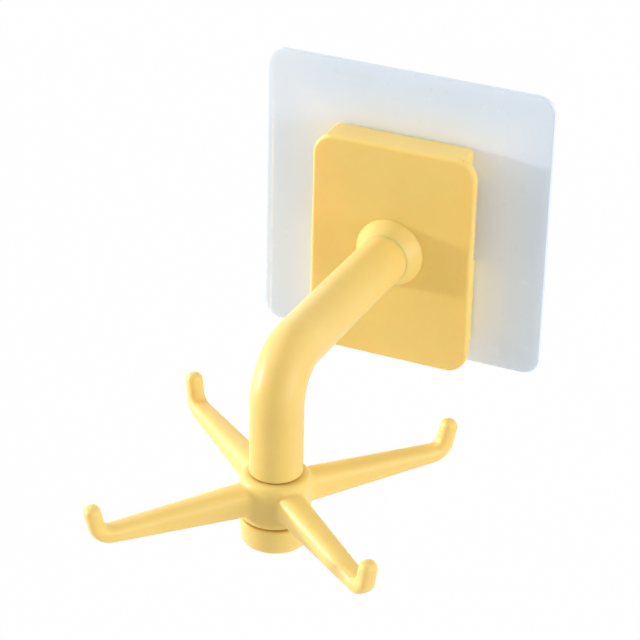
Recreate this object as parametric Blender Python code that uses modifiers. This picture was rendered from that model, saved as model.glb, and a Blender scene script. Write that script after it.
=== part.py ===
"""Kitchen hook rack: four hooks that turn on a bent arm, held by a clear adhesive wall pad.

Metres, +Z up. The origin is the middle of the pad's back, on the wall, and the rack stands out along -Y.
"""

import math

import bmesh
import bpy
from mathutils import Matrix

# Clearances and drawing detail
GAP = 0.0003
OVERRUN = 0.002
MERGE_DISTANCE = 0.00001
ROUND_STEPS = 48
FINE_STEPS = 24
CORNER_STEPS = 6
SHARP_ANGLE = math.radians(35)

# Wall pad
FILM_THICKNESS = 0.0004
FILM_INSET = 0.0015
SHEET_SIZE = 0.080
SHEET_THICKNESS = 0.0015
SHEET_CORNER = 0.0047
SHEET_EDGE = 0.0003
BOND_THICKNESS = 0.0003
BOND_INSET = 0.0005

# Wall bracket
BRACKET_THICKNESS = 0.0055
WING_THICKNESS = 0.0019
WING_OVERHANG = 0.0031
SPINE_FOOT = 0.0015
SPINE_CORNER = 0.0020

# Cover plate
PLATE_WIDTH = 0.0454
PLATE_HEIGHT = 0.0618
PLATE_TOP = 0.0224
PLATE_THICKNESS = 0.0026
PLATE_CORNER = 0.0058
PLATE_EDGE = 0.0010
BLOCK_INSET = 0.0034
BLOCK_HEIGHT = 0.0090
BLOCK_CORNER = 0.0020
RAIL_INSET = 0.0018
RAIL_TOP = -0.0090
RAIL_LENGTH = 0.0256
RAIL_WEB = 0.0041
RAIL_CHAMFER = 0.0018

# Boss on the cover plate
BOSS_RADIUS = 0.0094
BOSS_LENGTH = 0.0045
BOSS_RIM = 0.0003
BOSS_HOLLOW = 1.1
BOSS_STEPS = 4

# Arm
ARM_RADIUS = 0.0067
ARM_HEIGHT = -0.0077
ARM_REACH = 0.0707
ARM_STRAIGHT = 0.0010
ARM_RISE = math.radians(2)
ARM_EDGE = 0.0005
ARM_SIDES = 16
ELBOW_RADIUS = 0.0116
ELBOW_STEPS = 12
POST_DROP = 0.0280
SPIGOT_RADIUS = 0.0036
SPIGOT_FLAT = 0.0029
SPINDLE_RADIUS = 0.0040
SPINDLE_DEPTH = 0.0026

# Screws and washers
SCREW_RADIUS = 0.0015
SCREW_LENGTH = 0.0140
SCREW_POINT = 0.0015
HEAD_RADIUS = 0.0033
HEAD_HEIGHT = 0.0021
DRIVE_WIDTH = 0.0008
DRIVE_LENGTH = 0.0036
DRIVE_DEPTH = 0.0010
WASHER_RADIUS = 0.0058
WASHER_THICKNESS = 0.0008
POCKET_DEPTH = 0.0042
THRUST_BAND = 0.0009
THRUST_THICKNESS = 0.0008

# Hub and hooks
HUB_HEIGHT = 0.01185
HUB_LIP = 0.00215
HUB_LIP_ROUND = 0.0016
HUB_EDGE = 0.0003
HUB_RECESS = 0.0010
UNDER_RECESS = 0.0009
HOOK_COUNT = 4
FIRST_HOOK_ANGLE = math.radians(50.6)
HOOK_TOP_MARGIN = 0.0015
HOOK_UNDER_MARGIN = 0.00165
HOOK_ROOT_WIDTH = 0.0077
HOOK_END_WIDTH = 0.0052
HOOK_END_HEIGHT = 0.0044
HOOK_REACH = 0.0488
TIP_RISE = 0.0069
TIP_THICKNESS = 0.0044
TIP_WIDTH = 0.0036
TIP_LEAN = math.radians(12.9)
BEND_INNER_RADIUS = 0.0021
BEND_STEPS = 6
TIP_ROUND_STEPS = 4
SECTION_POINTS = 16
SECTION_SQUARENESS = 2.4

# End cap
CAP_HEIGHT = 0.0067
CAP_TAPER = 0.0008
CAP_TOP_EDGE = 0.0004
CAP_FOOT_EDGE = 0.0005
CAP_WEB = 0.0012

# Outlines as shares of the piece's radius and height
HEAD_PROFILE_SHARES = ((0, 1), (0.5, 1), (0.82, 0.8), (1, 0.4), (1, 0))

# Colours, linear
YELLOW = (0.89, 0.61, 0.17)
PALE_BLUE = (0.76, 0.82, 0.87)
CLEAR_GEL = (0.83, 0.86, 0.88)
STEEL = (0.56, 0.57, 0.58)
AMBER = (0.42, 0.25, 0.06)

# Levels from the wall outwards
FILM_FRONT = -FILM_THICKNESS
SHEET_BACK = FILM_FRONT - GAP
SHEET_FRONT = SHEET_BACK - SHEET_THICKNESS
BOND_BACK = SHEET_FRONT - GAP
BOND_FRONT = BOND_BACK - BOND_THICKNESS
BRACKET_BACK = BOND_FRONT - GAP
BRACKET_FRONT = BRACKET_BACK - BRACKET_THICKNESS
WING_BACK = BRACKET_FRONT + WING_THICKNESS
PLATE_BACK = BRACKET_FRONT - GAP
PLATE_FRONT = PLATE_BACK - PLATE_THICKNESS
BOSS_END = PLATE_FRONT - BOSS_LENGTH
ARM_START = BOSS_END - GAP
POST_Y = PLATE_FRONT - ARM_REACH

# Fastening of the arm, from the back of the plate
BORE_FLOOR = PLATE_BACK - POCKET_DEPTH
WASHER_FRONT = BORE_FLOOR + GAP
WASHER_BACK = WASHER_FRONT + WASHER_THICKNESS
ARM_SCREW_SEAT = WASHER_BACK + GAP

# Levels down the post
POST_END = ARM_HEIGHT - POST_DROP
UPPER_THRUST_TOP = POST_END - GAP
RECESS_FLOOR = UPPER_THRUST_TOP - THRUST_THICKNESS - GAP
HUB_TOP = RECESS_FLOOR + HUB_RECESS
HUB_FOOT = HUB_TOP - HUB_HEIGHT
UNDER_FLOOR = HUB_FOOT + UNDER_RECESS
LOWER_THRUST_TOP = UNDER_FLOOR - GAP
CAP_TOP = LOWER_THRUST_TOP - THRUST_THICKNESS - GAP
CAP_FOOT = CAP_TOP - CAP_HEIGHT
SPINDLE_END = CAP_TOP - SPINDLE_DEPTH
SOCKET_FLOOR = SPINDLE_END - GAP
HEAD_CEILING = SOCKET_FLOOR - CAP_WEB
HOOK_ROOT_HEIGHT = HUB_HEIGHT - HOOK_TOP_MARGIN - HOOK_UNDER_MARGIN
HOOK_LEVEL = HUB_TOP - HOOK_TOP_MARGIN - HOOK_ROOT_HEIGHT / 2

# Radii round the post
TURNING_BORE = SPINDLE_RADIUS + GAP
THRUST_RADIUS = TURNING_BORE + THRUST_BAND
HUB_RADIUS = ARM_RADIUS + HUB_LIP
PILOT_RADIUS = SCREW_RADIUS + GAP
PILOT_DEPTH = SCREW_LENGTH + GAP

# Heights and half widths behind the plate
PLATE_MIDDLE = PLATE_TOP - PLATE_HEIGHT / 2
BLOCK_FOOT = PLATE_TOP - BLOCK_HEIGHT
RAIL_FOOT = RAIL_TOP - RAIL_LENGTH
SPINE_TOP = BLOCK_FOOT - GAP
SPINE_BOTTOM = RAIL_FOOT - SPINE_FOOT
RAIL_SIDE = PLATE_WIDTH / 2 - RAIL_INSET
WING_SIDE = RAIL_SIDE - RAIL_WEB - GAP
SPINE_SIDE = WING_SIDE - WING_OVERHANG
LIP_SIDE = SPINE_SIDE + GAP

TO_FRONT = math.radians(90)


def clear_scene():
    """Empties the scene of its objects."""
    for obj in list(bpy.data.objects):
        bpy.data.objects.remove(obj, do_unlink=True)


def make_collection(name):
    """A new collection in the scene."""
    collection = bpy.data.collections.new(name)
    bpy.context.scene.collection.children.link(collection)
    return collection


def make_material(name, colour, roughness, metallic=0.0):
    """A plain surface of one colour."""
    material = bpy.data.materials.new(name)
    material.use_nodes = True
    shader = material.node_tree.nodes["Principled BSDF"]
    shader.inputs["Base Color"].default_value = (*colour, 1.0)
    shader.inputs["Roughness"].default_value = roughness
    shader.inputs["Metallic"].default_value = metallic
    return material


def smooth(mesh):
    """Shades the round faces smooth and keeps the corners crisp."""
    mesh.shade_smooth()
    mesh.set_sharp_from_angle(angle=SHARP_ANGLE)


def as_part(obj, parts, material):
    """Puts a finished object among the parts."""
    parts.objects.link(obj)
    obj.data.materials.clear()
    obj.data.materials.append(material)
    return obj


def as_tool(obj, tools):
    """Puts an object among the helpers that join or cut, which aren't seen."""
    tools.objects.link(obj)
    obj.hide_render = True
    obj.display_type = "WIRE"
    return obj


def combine(obj, tool, operation):
    """Joins the tool to the object, or cuts it out."""
    modifier = obj.modifiers.new(tool.name, "BOOLEAN")
    modifier.operation = operation
    modifier.object = tool
    modifier.solver = "EXACT"


def box(name, low, high):
    """A box between two corners."""
    size = [top - bottom for bottom, top in zip(low, high)]
    mesh = bpy.data.meshes.new(name)
    shape = bmesh.new()
    bmesh.ops.create_cube(shape, size=1.0, matrix=Matrix.Diagonal((*size, 1.0)))
    shape.to_mesh(mesh)
    shape.free()
    obj = bpy.data.objects.new(name, mesh)
    obj.location = [(top + bottom) / 2 for bottom, top in zip(low, high)]
    return obj


def cylinder(name, radius, start, end, steps):
    """A round bar from start to end, two points on a line along Y or Z."""
    length = sum(abs(b - a) for a, b in zip(start, end))
    mesh = bpy.data.meshes.new(name)
    shape = bmesh.new()
    bmesh.ops.create_cone(
        shape, cap_ends=True, segments=steps, radius1=radius, radius2=radius, depth=length
    )
    shape.to_mesh(mesh)
    shape.free()
    smooth(mesh)
    obj = bpy.data.objects.new(name, mesh)
    obj.location = [(a + b) / 2 for a, b in zip(start, end)]
    if start[1] != end[1]:
        obj.rotation_euler.x = TO_FRONT
    return obj


def turned(name, profile, steps, ring=False):
    """A turned piece: (radius, height) points from the top down the outer side, spun round Z.

    A ring's profile goes on, up its bore, to where it began.
    """
    mesh = bpy.data.meshes.new(name)
    points = [(radius, 0, height) for radius, height in profile]
    last = len(points) if ring else len(points) - 1
    mesh.from_pydata(points, [(i, (i + 1) % len(points)) for i in range(last)], [])
    obj = bpy.data.objects.new(name, mesh)
    spin = obj.modifiers.new("spin", "SCREW")
    spin.axis = "Z"
    spin.steps = steps
    spin.render_steps = steps
    spin.use_merge_vertices = True
    spin.merge_threshold = MERGE_DISTANCE
    spin.use_smooth_shade = False
    return obj


def arc(centre, radius, first_angle, last_angle, steps):
    """Points round an arc, both ends included."""
    turn = last_angle - first_angle
    angles = [first_angle + turn * i / steps for i in range(steps + 1)]
    return [(centre[0] + radius * math.cos(a), centre[1] + radius * math.sin(a)) for a in angles]


def rounded_rectangle(width, height, radius):
    """A rectangle about the origin whose corners are arcs."""
    across = width / 2 - radius
    up = height / 2 - radius
    points = []
    for turn, centre in enumerate(((across, up), (-across, up), (-across, -up), (across, -up))):
        first = math.radians(90) * turn
        points += arc(centre, radius, first, first + math.radians(90), CORNER_STEPS)
    return points


def mesh_from_curve(guide):
    """The mesh object made from a curve object, closed and with its faces pointing out."""
    bpy.context.scene.collection.objects.link(guide)
    bpy.context.view_layer.update()
    graph = bpy.context.evaluated_depsgraph_get()
    mesh = bpy.data.meshes.new_from_object(guide.evaluated_get(graph))
    shape = bmesh.new()
    shape.from_mesh(mesh)
    bmesh.ops.remove_doubles(shape, verts=shape.verts, dist=MERGE_DISTANCE)
    bmesh.ops.dissolve_limit(shape, angle_limit=math.radians(1), verts=shape.verts, edges=shape.edges)
    bmesh.ops.recalc_face_normals(shape, faces=shape.faces)
    shape.to_mesh(mesh)
    shape.free()
    name = guide.name
    place = guide.matrix_world.copy()
    bpy.data.objects.remove(guide)
    obj = bpy.data.objects.new(name, mesh)
    obj.matrix_world = place
    return obj


def flat_piece(name, outline, thickness, location, facing_front=True):
    """A flat outline with a thickness, standing up to face the front or lying level."""
    curve = bpy.data.curves.new(name, "CURVE")
    curve.dimensions = "2D"
    curve.fill_mode = "BOTH"
    curve.extrude = thickness / 2
    spline = curve.splines.new("POLY")
    spline.points.add(len(outline) - 1)
    for point, place in zip(spline.points, outline):
        point.co = (*place, 0, 1)
    spline.use_cyclic_u = True
    guide = bpy.data.objects.new(name, curve)
    guide.location = location
    if facing_front:
        guide.rotation_euler.x = TO_FRONT
    return mesh_from_curve(guide)


def bevel_edges(obj, wanted, width, segments):
    """Rounds or chamfers the edges that the test picks."""
    shape = bmesh.new()
    shape.from_mesh(obj.data)
    picked = [edge for edge in shape.edges if wanted(edge)]
    bmesh.ops.bevel(
        shape, geom=picked, offset=width, segments=segments, profile=0.5, affect="EDGES", clamp_overlap=True
    )
    shape.to_mesh(obj.data)
    shape.free()


def is_front_rim(edge):
    """True on the rim of a flat piece's front face."""
    steep = edge.calc_face_angle(0) > SHARP_ANGLE
    return steep and all(vert.co.z > 0 for vert in edge.verts)


def is_steep(edge):
    """True where two faces meet at a corner."""
    return edge.calc_face_angle(0) > SHARP_ANGLE


def build_film(parts):
    """The clear adhesive film that sticks to the wall."""
    size = SHEET_SIZE - 2 * FILM_INSET
    outline = rounded_rectangle(size, size, SHEET_CORNER - FILM_INSET)
    obj = flat_piece("adhesive_film", outline, FILM_THICKNESS, (0, FILM_FRONT / 2, 0))
    return as_part(obj, parts, make_material("adhesive_film", CLEAR_GEL, 0.15))


def build_sheet(parts):
    """The translucent square sheet that shows behind the cover plate."""
    outline = rounded_rectangle(SHEET_SIZE, SHEET_SIZE, SHEET_CORNER)
    middle = (SHEET_BACK + SHEET_FRONT) / 2
    obj = flat_piece("backing_sheet", outline, SHEET_THICKNESS, (0, middle, 0))
    bevel_edges(obj, is_front_rim, SHEET_EDGE, 1)
    smooth(obj.data)
    return as_part(obj, parts, make_material("backing_sheet", PALE_BLUE, 0.25))


def build_bond(parts):
    """The thin bond film between the sheet and the bracket's spine."""
    width = 2 * (SPINE_SIDE - BOND_INSET)
    height = SPINE_TOP - SPINE_BOTTOM - 2 * BOND_INSET
    outline = rounded_rectangle(width, height, SPINE_CORNER)
    location = (0, (BOND_BACK + BOND_FRONT) / 2, (SPINE_TOP + SPINE_BOTTOM) / 2)
    obj = flat_piece("bracket_bond_film", outline, BOND_THICKNESS, location)
    return as_part(obj, parts, make_material("bracket_bond_film", CLEAR_GEL, 0.2))


def build_bracket(parts, tools):
    """The wall bracket: a spine on the sheet, with a wing down each side for the plate's rails."""
    middle = (0, (BRACKET_BACK + BRACKET_FRONT) / 2, (SPINE_TOP + SPINE_BOTTOM) / 2)
    outline = rounded_rectangle(2 * SPINE_SIDE, SPINE_TOP - SPINE_BOTTOM, SPINE_CORNER)
    obj = flat_piece("wall_bracket", outline, BRACKET_THICKNESS, middle)
    smooth(obj.data)
    low = (-WING_SIDE, BRACKET_FRONT, RAIL_FOOT)
    wings = as_tool(box("bracket_wings", low, (WING_SIDE, WING_BACK, RAIL_TOP)), tools)
    combine(obj, wings, "UNION")
    return as_part(obj, parts, make_material("wall_bracket", YELLOW, 0.35))


def build_rails(tools):
    """The two rails behind the plate, each a web with a lip turned in behind the bracket's wing."""
    web_side = WING_SIDE + GAP
    lip_front = WING_BACK + GAP
    lip_back = SHEET_FRONT - GAP
    root = PLATE_BACK - PLATE_THICKNESS / 2
    outline = [
        (RAIL_SIDE, root),
        (RAIL_SIDE, lip_back),
        (LIP_SIDE, lip_back),
        (LIP_SIDE, lip_front),
        (web_side, lip_front),
        (web_side, root),
    ]
    middle = (RAIL_TOP + RAIL_FOOT) / 2
    obj = flat_piece("plate_rails", outline, RAIL_LENGTH, (0, 0, middle), facing_front=False)
    outer = RAIL_SIDE - MERGE_DISTANCE
    bevel_edges(
        obj, lambda edge: all(v.co.x > outer and v.co.z < 0 for v in edge.verts), RAIL_CHAMFER, 1
    )
    pair = obj.modifiers.new("pair", "MIRROR")
    pair.use_axis = (True, False, False)
    pair.merge_threshold = MERGE_DISTANCE
    return as_tool(obj, tools)


def build_top_block(tools):
    """The block along the plate's top edge, which reaches back to the sheet and rests on the bracket."""
    back = SHEET_FRONT - GAP
    front = PLATE_BACK - PLATE_THICKNESS / 2
    outline = rounded_rectangle(PLATE_WIDTH - 2 * BLOCK_INSET, back - front, BLOCK_CORNER)
    location = (0, (back + front) / 2, PLATE_TOP - BLOCK_HEIGHT / 2)
    obj = flat_piece("plate_top_block", outline, BLOCK_HEIGHT, location, facing_front=False)
    smooth(obj.data)
    return as_tool(obj, tools)


def boss_profile():
    """The boss from its end to the plate: a slightly hollow flare, then a thin rim."""
    points = [(0, BOSS_LENGTH)]
    flare = BOSS_RADIUS - ARM_RADIUS
    for i in range(BOSS_STEPS + 1):
        share = i / BOSS_STEPS
        height = BOSS_LENGTH - (BOSS_LENGTH - BOSS_RIM) * share
        points.append((ARM_RADIUS + flare * share**BOSS_HOLLOW, height))
    root = -PLATE_THICKNESS / 2
    return points + [(BOSS_RADIUS, root), (0, root)]


def d_bar(name, radius, flat, start, end, tools):
    """A round bar along Y with a flat on its upper side."""
    bar = cylinder(name, radius, (0, start, ARM_HEIGHT), (0, end, ARM_HEIGHT), FINE_STEPS)
    reach = radius + OVERRUN
    low = (-reach, min(start, end) - OVERRUN, ARM_HEIGHT + flat)
    high = (reach, max(start, end) + OVERRUN, ARM_HEIGHT + reach)
    combine(bar, as_tool(box(name + "_flat", low, high), tools), "DIFFERENCE")
    return as_tool(bar, tools)


def build_cover_plate(parts, tools):
    """The cover plate with its top block, rails and boss, bored for the arm's spigot and screw."""
    outline = rounded_rectangle(PLATE_WIDTH, PLATE_HEIGHT, PLATE_CORNER)
    location = (0, (PLATE_BACK + PLATE_FRONT) / 2, PLATE_MIDDLE)
    obj = flat_piece("cover_plate", outline, PLATE_THICKNESS, location)
    bevel_edges(obj, is_front_rim, PLATE_EDGE, 3)
    smooth(obj.data)
    combine(obj, build_top_block(tools), "UNION")
    combine(obj, build_rails(tools), "UNION")
    boss = turned("plate_boss", boss_profile(), ROUND_STEPS)
    boss.location = (0, PLATE_FRONT, ARM_HEIGHT)
    boss.rotation_euler.x = TO_FRONT
    combine(obj, as_tool(boss, tools), "UNION")
    bore_end = PLATE_BACK + OVERRUN
    bore = d_bar("plate_bore", SPIGOT_RADIUS + GAP, SPIGOT_FLAT + GAP, BOSS_END - OVERRUN, bore_end, tools)
    combine(obj, bore, "DIFFERENCE")
    pocket_start = (0, bore_end, ARM_HEIGHT)
    pocket_end = (0, BORE_FLOOR, ARM_HEIGHT)
    pocket = cylinder("plate_pocket", WASHER_RADIUS + GAP, pocket_start, pocket_end, ROUND_STEPS)
    combine(obj, as_tool(pocket, tools), "DIFFERENCE")
    return as_part(obj, parts, make_material("cover_plate", YELLOW, 0.32))


def arm_centreline():
    """The arm's middle line: out from the boss, rising a little, round the elbow and down the post."""
    rise_start = ARM_START - ARM_STRAIGHT
    first_angle = math.radians(90) - ARM_RISE
    elbow_out = POST_Y + ELBOW_RADIUS
    rise = (rise_start - elbow_out - ELBOW_RADIUS * math.cos(first_angle)) * math.tan(ARM_RISE)
    elbow_up = ARM_HEIGHT + rise - ELBOW_RADIUS * math.sin(first_angle)
    bend = arc((elbow_out, elbow_up), ELBOW_RADIUS, first_angle, math.radians(180), ELBOW_STEPS)
    return [(ARM_START, ARM_HEIGHT), (rise_start, ARM_HEIGHT), *bend, (POST_Y, POST_END)]


def build_arm(parts, tools):
    """The bent arm with its spigot, its spindle and the two pilot holes."""
    curve = bpy.data.curves.new("hook_arm", "CURVE")
    curve.dimensions = "3D"
    curve.bevel_depth = ARM_RADIUS
    curve.bevel_resolution = ARM_SIDES
    curve.use_fill_caps = True
    spline = curve.splines.new("POLY")
    route = arm_centreline()
    spline.points.add(len(route) - 1)
    for point, (out, up) in zip(spline.points, route):
        point.co = (0, out, up, 1)
    obj = mesh_from_curve(bpy.data.objects.new("hook_arm", curve))
    bevel_edges(obj, is_steep, ARM_EDGE, 2)
    smooth(obj.data)
    spigot = d_bar("arm_spigot", SPIGOT_RADIUS, SPIGOT_FLAT, ARM_START - OVERRUN, BORE_FLOOR, tools)
    combine(obj, spigot, "UNION")
    spindle_top = (0, POST_Y, POST_END + OVERRUN)
    spindle = cylinder("arm_spindle", SPINDLE_RADIUS, spindle_top, (0, POST_Y, SPINDLE_END), FINE_STEPS)
    combine(obj, as_tool(spindle, tools), "UNION")
    arm_pilot_end = (0, ARM_SCREW_SEAT - PILOT_DEPTH, ARM_HEIGHT)
    arm_pilot_start = (0, BORE_FLOOR + OVERRUN, ARM_HEIGHT)
    arm_pilot = cylinder("arm_pilot", PILOT_RADIUS, arm_pilot_start, arm_pilot_end, FINE_STEPS)
    combine(obj, as_tool(arm_pilot, tools), "DIFFERENCE")
    post_pilot_start = (0, POST_Y, SPINDLE_END - OVERRUN)
    post_pilot_end = (0, POST_Y, HEAD_CEILING - GAP + PILOT_DEPTH)
    post_pilot = cylinder("post_pilot", PILOT_RADIUS, post_pilot_start, post_pilot_end, FINE_STEPS)
    combine(obj, as_tool(post_pilot, tools), "DIFFERENCE")
    return as_part(obj, parts, make_material("hook_arm", YELLOW, 0.32))


def washer(name, inner, outer, thickness, parts, material):
    """A flat washer whose upper face is at its origin."""
    profile = [(inner, 0), (outer, 0), (outer, -thickness), (inner, -thickness)]
    obj = turned(name, profile, ROUND_STEPS, ring=True)
    return as_part(obj, parts, material)


def screw(name, parts, tools):
    """A pan head screw with a cross recess, whose seat is at its origin and whose head is up."""
    profile = [(HEAD_RADIUS * out, HEAD_HEIGHT * up) for out, up in HEAD_PROFILE_SHARES]
    profile += [
        (SCREW_RADIUS, 0),
        (SCREW_RADIUS, SCREW_POINT - SCREW_LENGTH),
        (0, -SCREW_LENGTH),
    ]
    obj = turned(name, profile, FINE_STEPS)
    for turn in range(2):
        long_way = DRIVE_LENGTH / 2 if turn == 0 else DRIVE_WIDTH / 2
        short_way = DRIVE_WIDTH / 2 if turn == 0 else DRIVE_LENGTH / 2
        low = (-long_way, -short_way, HEAD_HEIGHT - DRIVE_DEPTH)
        high = (long_way, short_way, HEAD_HEIGHT + OVERRUN)
        slot = as_tool(box(f"{name}_drive_{turn}", low, high), tools)
        slot.parent = obj
        combine(obj, slot, "DIFFERENCE")
    return as_part(obj, parts, make_material(name, STEEL, 0.3, 1.0))


def build_arm_fixing(parts, tools):
    """The washer and screw that clamp the arm's spigot in the plate."""
    steel = make_material("arm_washer", STEEL, 0.35, 1.0)
    flat = washer("arm_washer", PILOT_RADIUS, WASHER_RADIUS, WASHER_THICKNESS, parts, steel)
    flat.location = (0, WASHER_FRONT, ARM_HEIGHT)
    flat.rotation_euler.x = TO_FRONT
    fastener = screw("arm_screw", parts, tools)
    fastener.location = (0, ARM_SCREW_SEAT, ARM_HEIGHT)
    fastener.rotation_euler.x = -TO_FRONT
    return [flat, fastener]


def build_thrust_washers(parts):
    """The two washers that the hub turns between."""
    made = []
    levels = {"upper_thrust_washer": UPPER_THRUST_TOP, "lower_thrust_washer": LOWER_THRUST_TOP}
    for name, level in levels.items():
        material = make_material(name, AMBER, 0.5)
        obj = washer(name, TURNING_BORE, THRUST_RADIUS, THRUST_THICKNESS, parts, material)
        obj.location = (0, POST_Y, level)
        made.append(obj)
    return made


def hub_profile():
    """The hub's ring section about the hooks' level: rounded lip, washer pockets, bore."""
    top = HUB_TOP - HOOK_LEVEL
    foot = HUB_FOOT - HOOK_LEVEL
    floor = RECESS_FLOOR - HOOK_LEVEL
    under = UNDER_FLOOR - HOOK_LEVEL
    lip = (HUB_RADIUS - HUB_LIP_ROUND, top - HUB_LIP_ROUND)
    pocket = THRUST_RADIUS + GAP
    return [
        (TURNING_BORE, floor),
        (pocket, floor),
        (pocket, top),
        *arc(lip, HUB_LIP_ROUND, math.radians(90), 0, CORNER_STEPS),
        (HUB_RADIUS, foot + HUB_EDGE),
        (HUB_RADIUS - HUB_EDGE, foot),
        (pocket, foot),
        (pocket, under),
        (TURNING_BORE, under),
    ]


def hook_stations():
    """Sections of a hook from its root to its tip: (outward, upward, slope, width, height)."""
    turn = math.radians(90) - TIP_LEAN
    bend_radius = BEND_INNER_RADIUS + TIP_THICKNESS / 2
    corner = HOOK_REACH - math.tan(TIP_LEAN) * TIP_RISE
    bend_start = corner - bend_radius * math.tan(turn / 2)
    root = (TURNING_BORE + HUB_RADIUS) / 2
    stations = [
        (root, 0, 0, HOOK_ROOT_WIDTH, HOOK_ROOT_HEIGHT),
        (bend_start, 0, 0, HOOK_END_WIDTH, HOOK_END_HEIGHT),
    ]
    for i in range(1, BEND_STEPS + 1):
        share = i / BEND_STEPS
        slope = turn * share
        out = bend_start + bend_radius * math.sin(slope)
        up = bend_radius * (1 - math.cos(slope))
        width = HOOK_END_WIDTH + (TIP_WIDTH - HOOK_END_WIDTH) * share
        height = HOOK_END_HEIGHT + (TIP_THICKNESS - HOOK_END_HEIGHT) * share
        stations.append((out, up, slope, width, height))
    for i in range(TIP_ROUND_STEPS):
        angle = math.radians(90) * i / TIP_ROUND_STEPS
        beyond = TIP_THICKNESS / 2 * math.sin(angle)
        width = TIP_WIDTH * math.cos(angle)
        height = TIP_THICKNESS * math.cos(angle)
        out = HOOK_REACH + beyond * math.cos(turn)
        up = TIP_RISE + beyond * math.sin(turn)
        stations.append((out, up, turn, width, height))
    return stations


def section(station):
    """The points round one section, a rounded square across the hook's line."""
    out, up, slope, width, height = station
    points = []
    for i in range(SECTION_POINTS):
        angle = 2 * math.pi * i / SECTION_POINTS
        power = 2 / SECTION_SQUARENESS
        side = math.copysign(abs(math.cos(angle)) ** power, math.cos(angle)) * width / 2
        lift = math.copysign(abs(math.sin(angle)) ** power, math.sin(angle)) * height / 2
        points.append((out - lift * math.sin(slope), side, up + lift * math.cos(slope)))
    return points


def hook_mesh():
    """One hook along +X, lofted through its sections."""
    shape = bmesh.new()
    rings = [[shape.verts.new(point) for point in section(station)] for station in hook_stations()]
    for lower, upper in zip(rings, rings[1:]):
        for i in range(SECTION_POINTS):
            after = (i + 1) % SECTION_POINTS
            shape.faces.new((lower[i], upper[i], upper[after], lower[after]))
    shape.faces.new(rings[0])
    shape.faces.new(reversed(rings[-1]))
    bmesh.ops.recalc_face_normals(shape, faces=shape.faces)
    mesh = bpy.data.meshes.new("hook")
    shape.to_mesh(mesh)
    shape.free()
    smooth(mesh)
    return mesh


def build_spider(parts, tools, axis):
    """The turning hub with its hooks, whose origin is on the axis that it turns on."""
    obj = turned("hook_spider", hub_profile(), ROUND_STEPS, ring=True)
    mesh = hook_mesh()
    for i in range(HOOK_COUNT):
        hook = as_tool(bpy.data.objects.new(f"hook_{i + 1}", mesh), tools)
        hook.rotation_euler.z = FIRST_HOOK_ANGLE + 2 * math.pi * i / HOOK_COUNT
        hook.parent = axis
        combine(obj, hook, "UNION")
    obj.parent = axis
    return as_part(obj, parts, make_material("hook_spider", YELLOW, 0.3))


def build_end_cap(parts):
    """The cap under the hub, with a socket for the spindle and a recess for the screw's head."""
    foot_radius = HUB_RADIUS - CAP_TAPER
    pocket = HEAD_RADIUS + GAP
    profile = [
        (TURNING_BORE, CAP_TOP),
        (HUB_RADIUS - CAP_TOP_EDGE, CAP_TOP),
        (HUB_RADIUS, CAP_TOP - CAP_TOP_EDGE),
        (foot_radius, CAP_FOOT + CAP_FOOT_EDGE),
        (foot_radius - CAP_FOOT_EDGE, CAP_FOOT),
        (pocket, CAP_FOOT),
        (pocket, HEAD_CEILING),
        (PILOT_RADIUS, HEAD_CEILING),
        (PILOT_RADIUS, SOCKET_FLOOR),
        (TURNING_BORE, SOCKET_FLOOR),
    ]
    obj = turned("end_cap", profile, ROUND_STEPS, ring=True)
    obj.location.y = POST_Y
    return as_part(obj, parts, make_material("end_cap", YELLOW, 0.32))


def build_cap_screw(parts, tools):
    """The screw up through the cap into the spindle."""
    fastener = screw("cap_screw", parts, tools)
    fastener.location = (0, POST_Y, HEAD_CEILING - GAP)
    fastener.rotation_euler.x = 2 * TO_FRONT
    return fastener


def build_axes(parts):
    """Empties on the two joint axes: the plate slides up on the wall, and the hub turns on the post."""
    slide = bpy.data.objects.new("plate_slide_axis", None)
    spin = bpy.data.objects.new("hub_spin_axis", None)
    for empty in (slide, spin):
        parts.objects.link(empty)
    spin.parent = slide
    spin.location = (0, POST_Y, HOOK_LEVEL)
    return slide, spin


def main():
    """Builds the whole rack."""
    clear_scene()
    parts = make_collection("kitchen_hook_rack")
    tools = make_collection("cutters")
    slide_axis, spin_axis = build_axes(parts)
    build_film(parts)
    build_sheet(parts)
    build_bond(parts)
    build_bracket(parts, tools)
    carried = [build_cover_plate(parts, tools), build_arm(parts, tools)]
    carried += build_arm_fixing(parts, tools)
    carried += build_thrust_washers(parts)
    carried += [build_end_cap(parts), build_cap_screw(parts, tools)]
    for obj in carried:
        obj.parent = slide_axis
    build_spider(parts, tools, spin_axis)


main()
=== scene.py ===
"""Kitchen hook rack, finished: moulded yellow pieces on a frosted wall pad, in a plain studio.

Metres, +Z up. The wall is the plane y = 0 and the rack stands out along -Y.
"""

import math

import bmesh
import bpy
import numpy as np
from mathutils import Matrix, Vector


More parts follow.
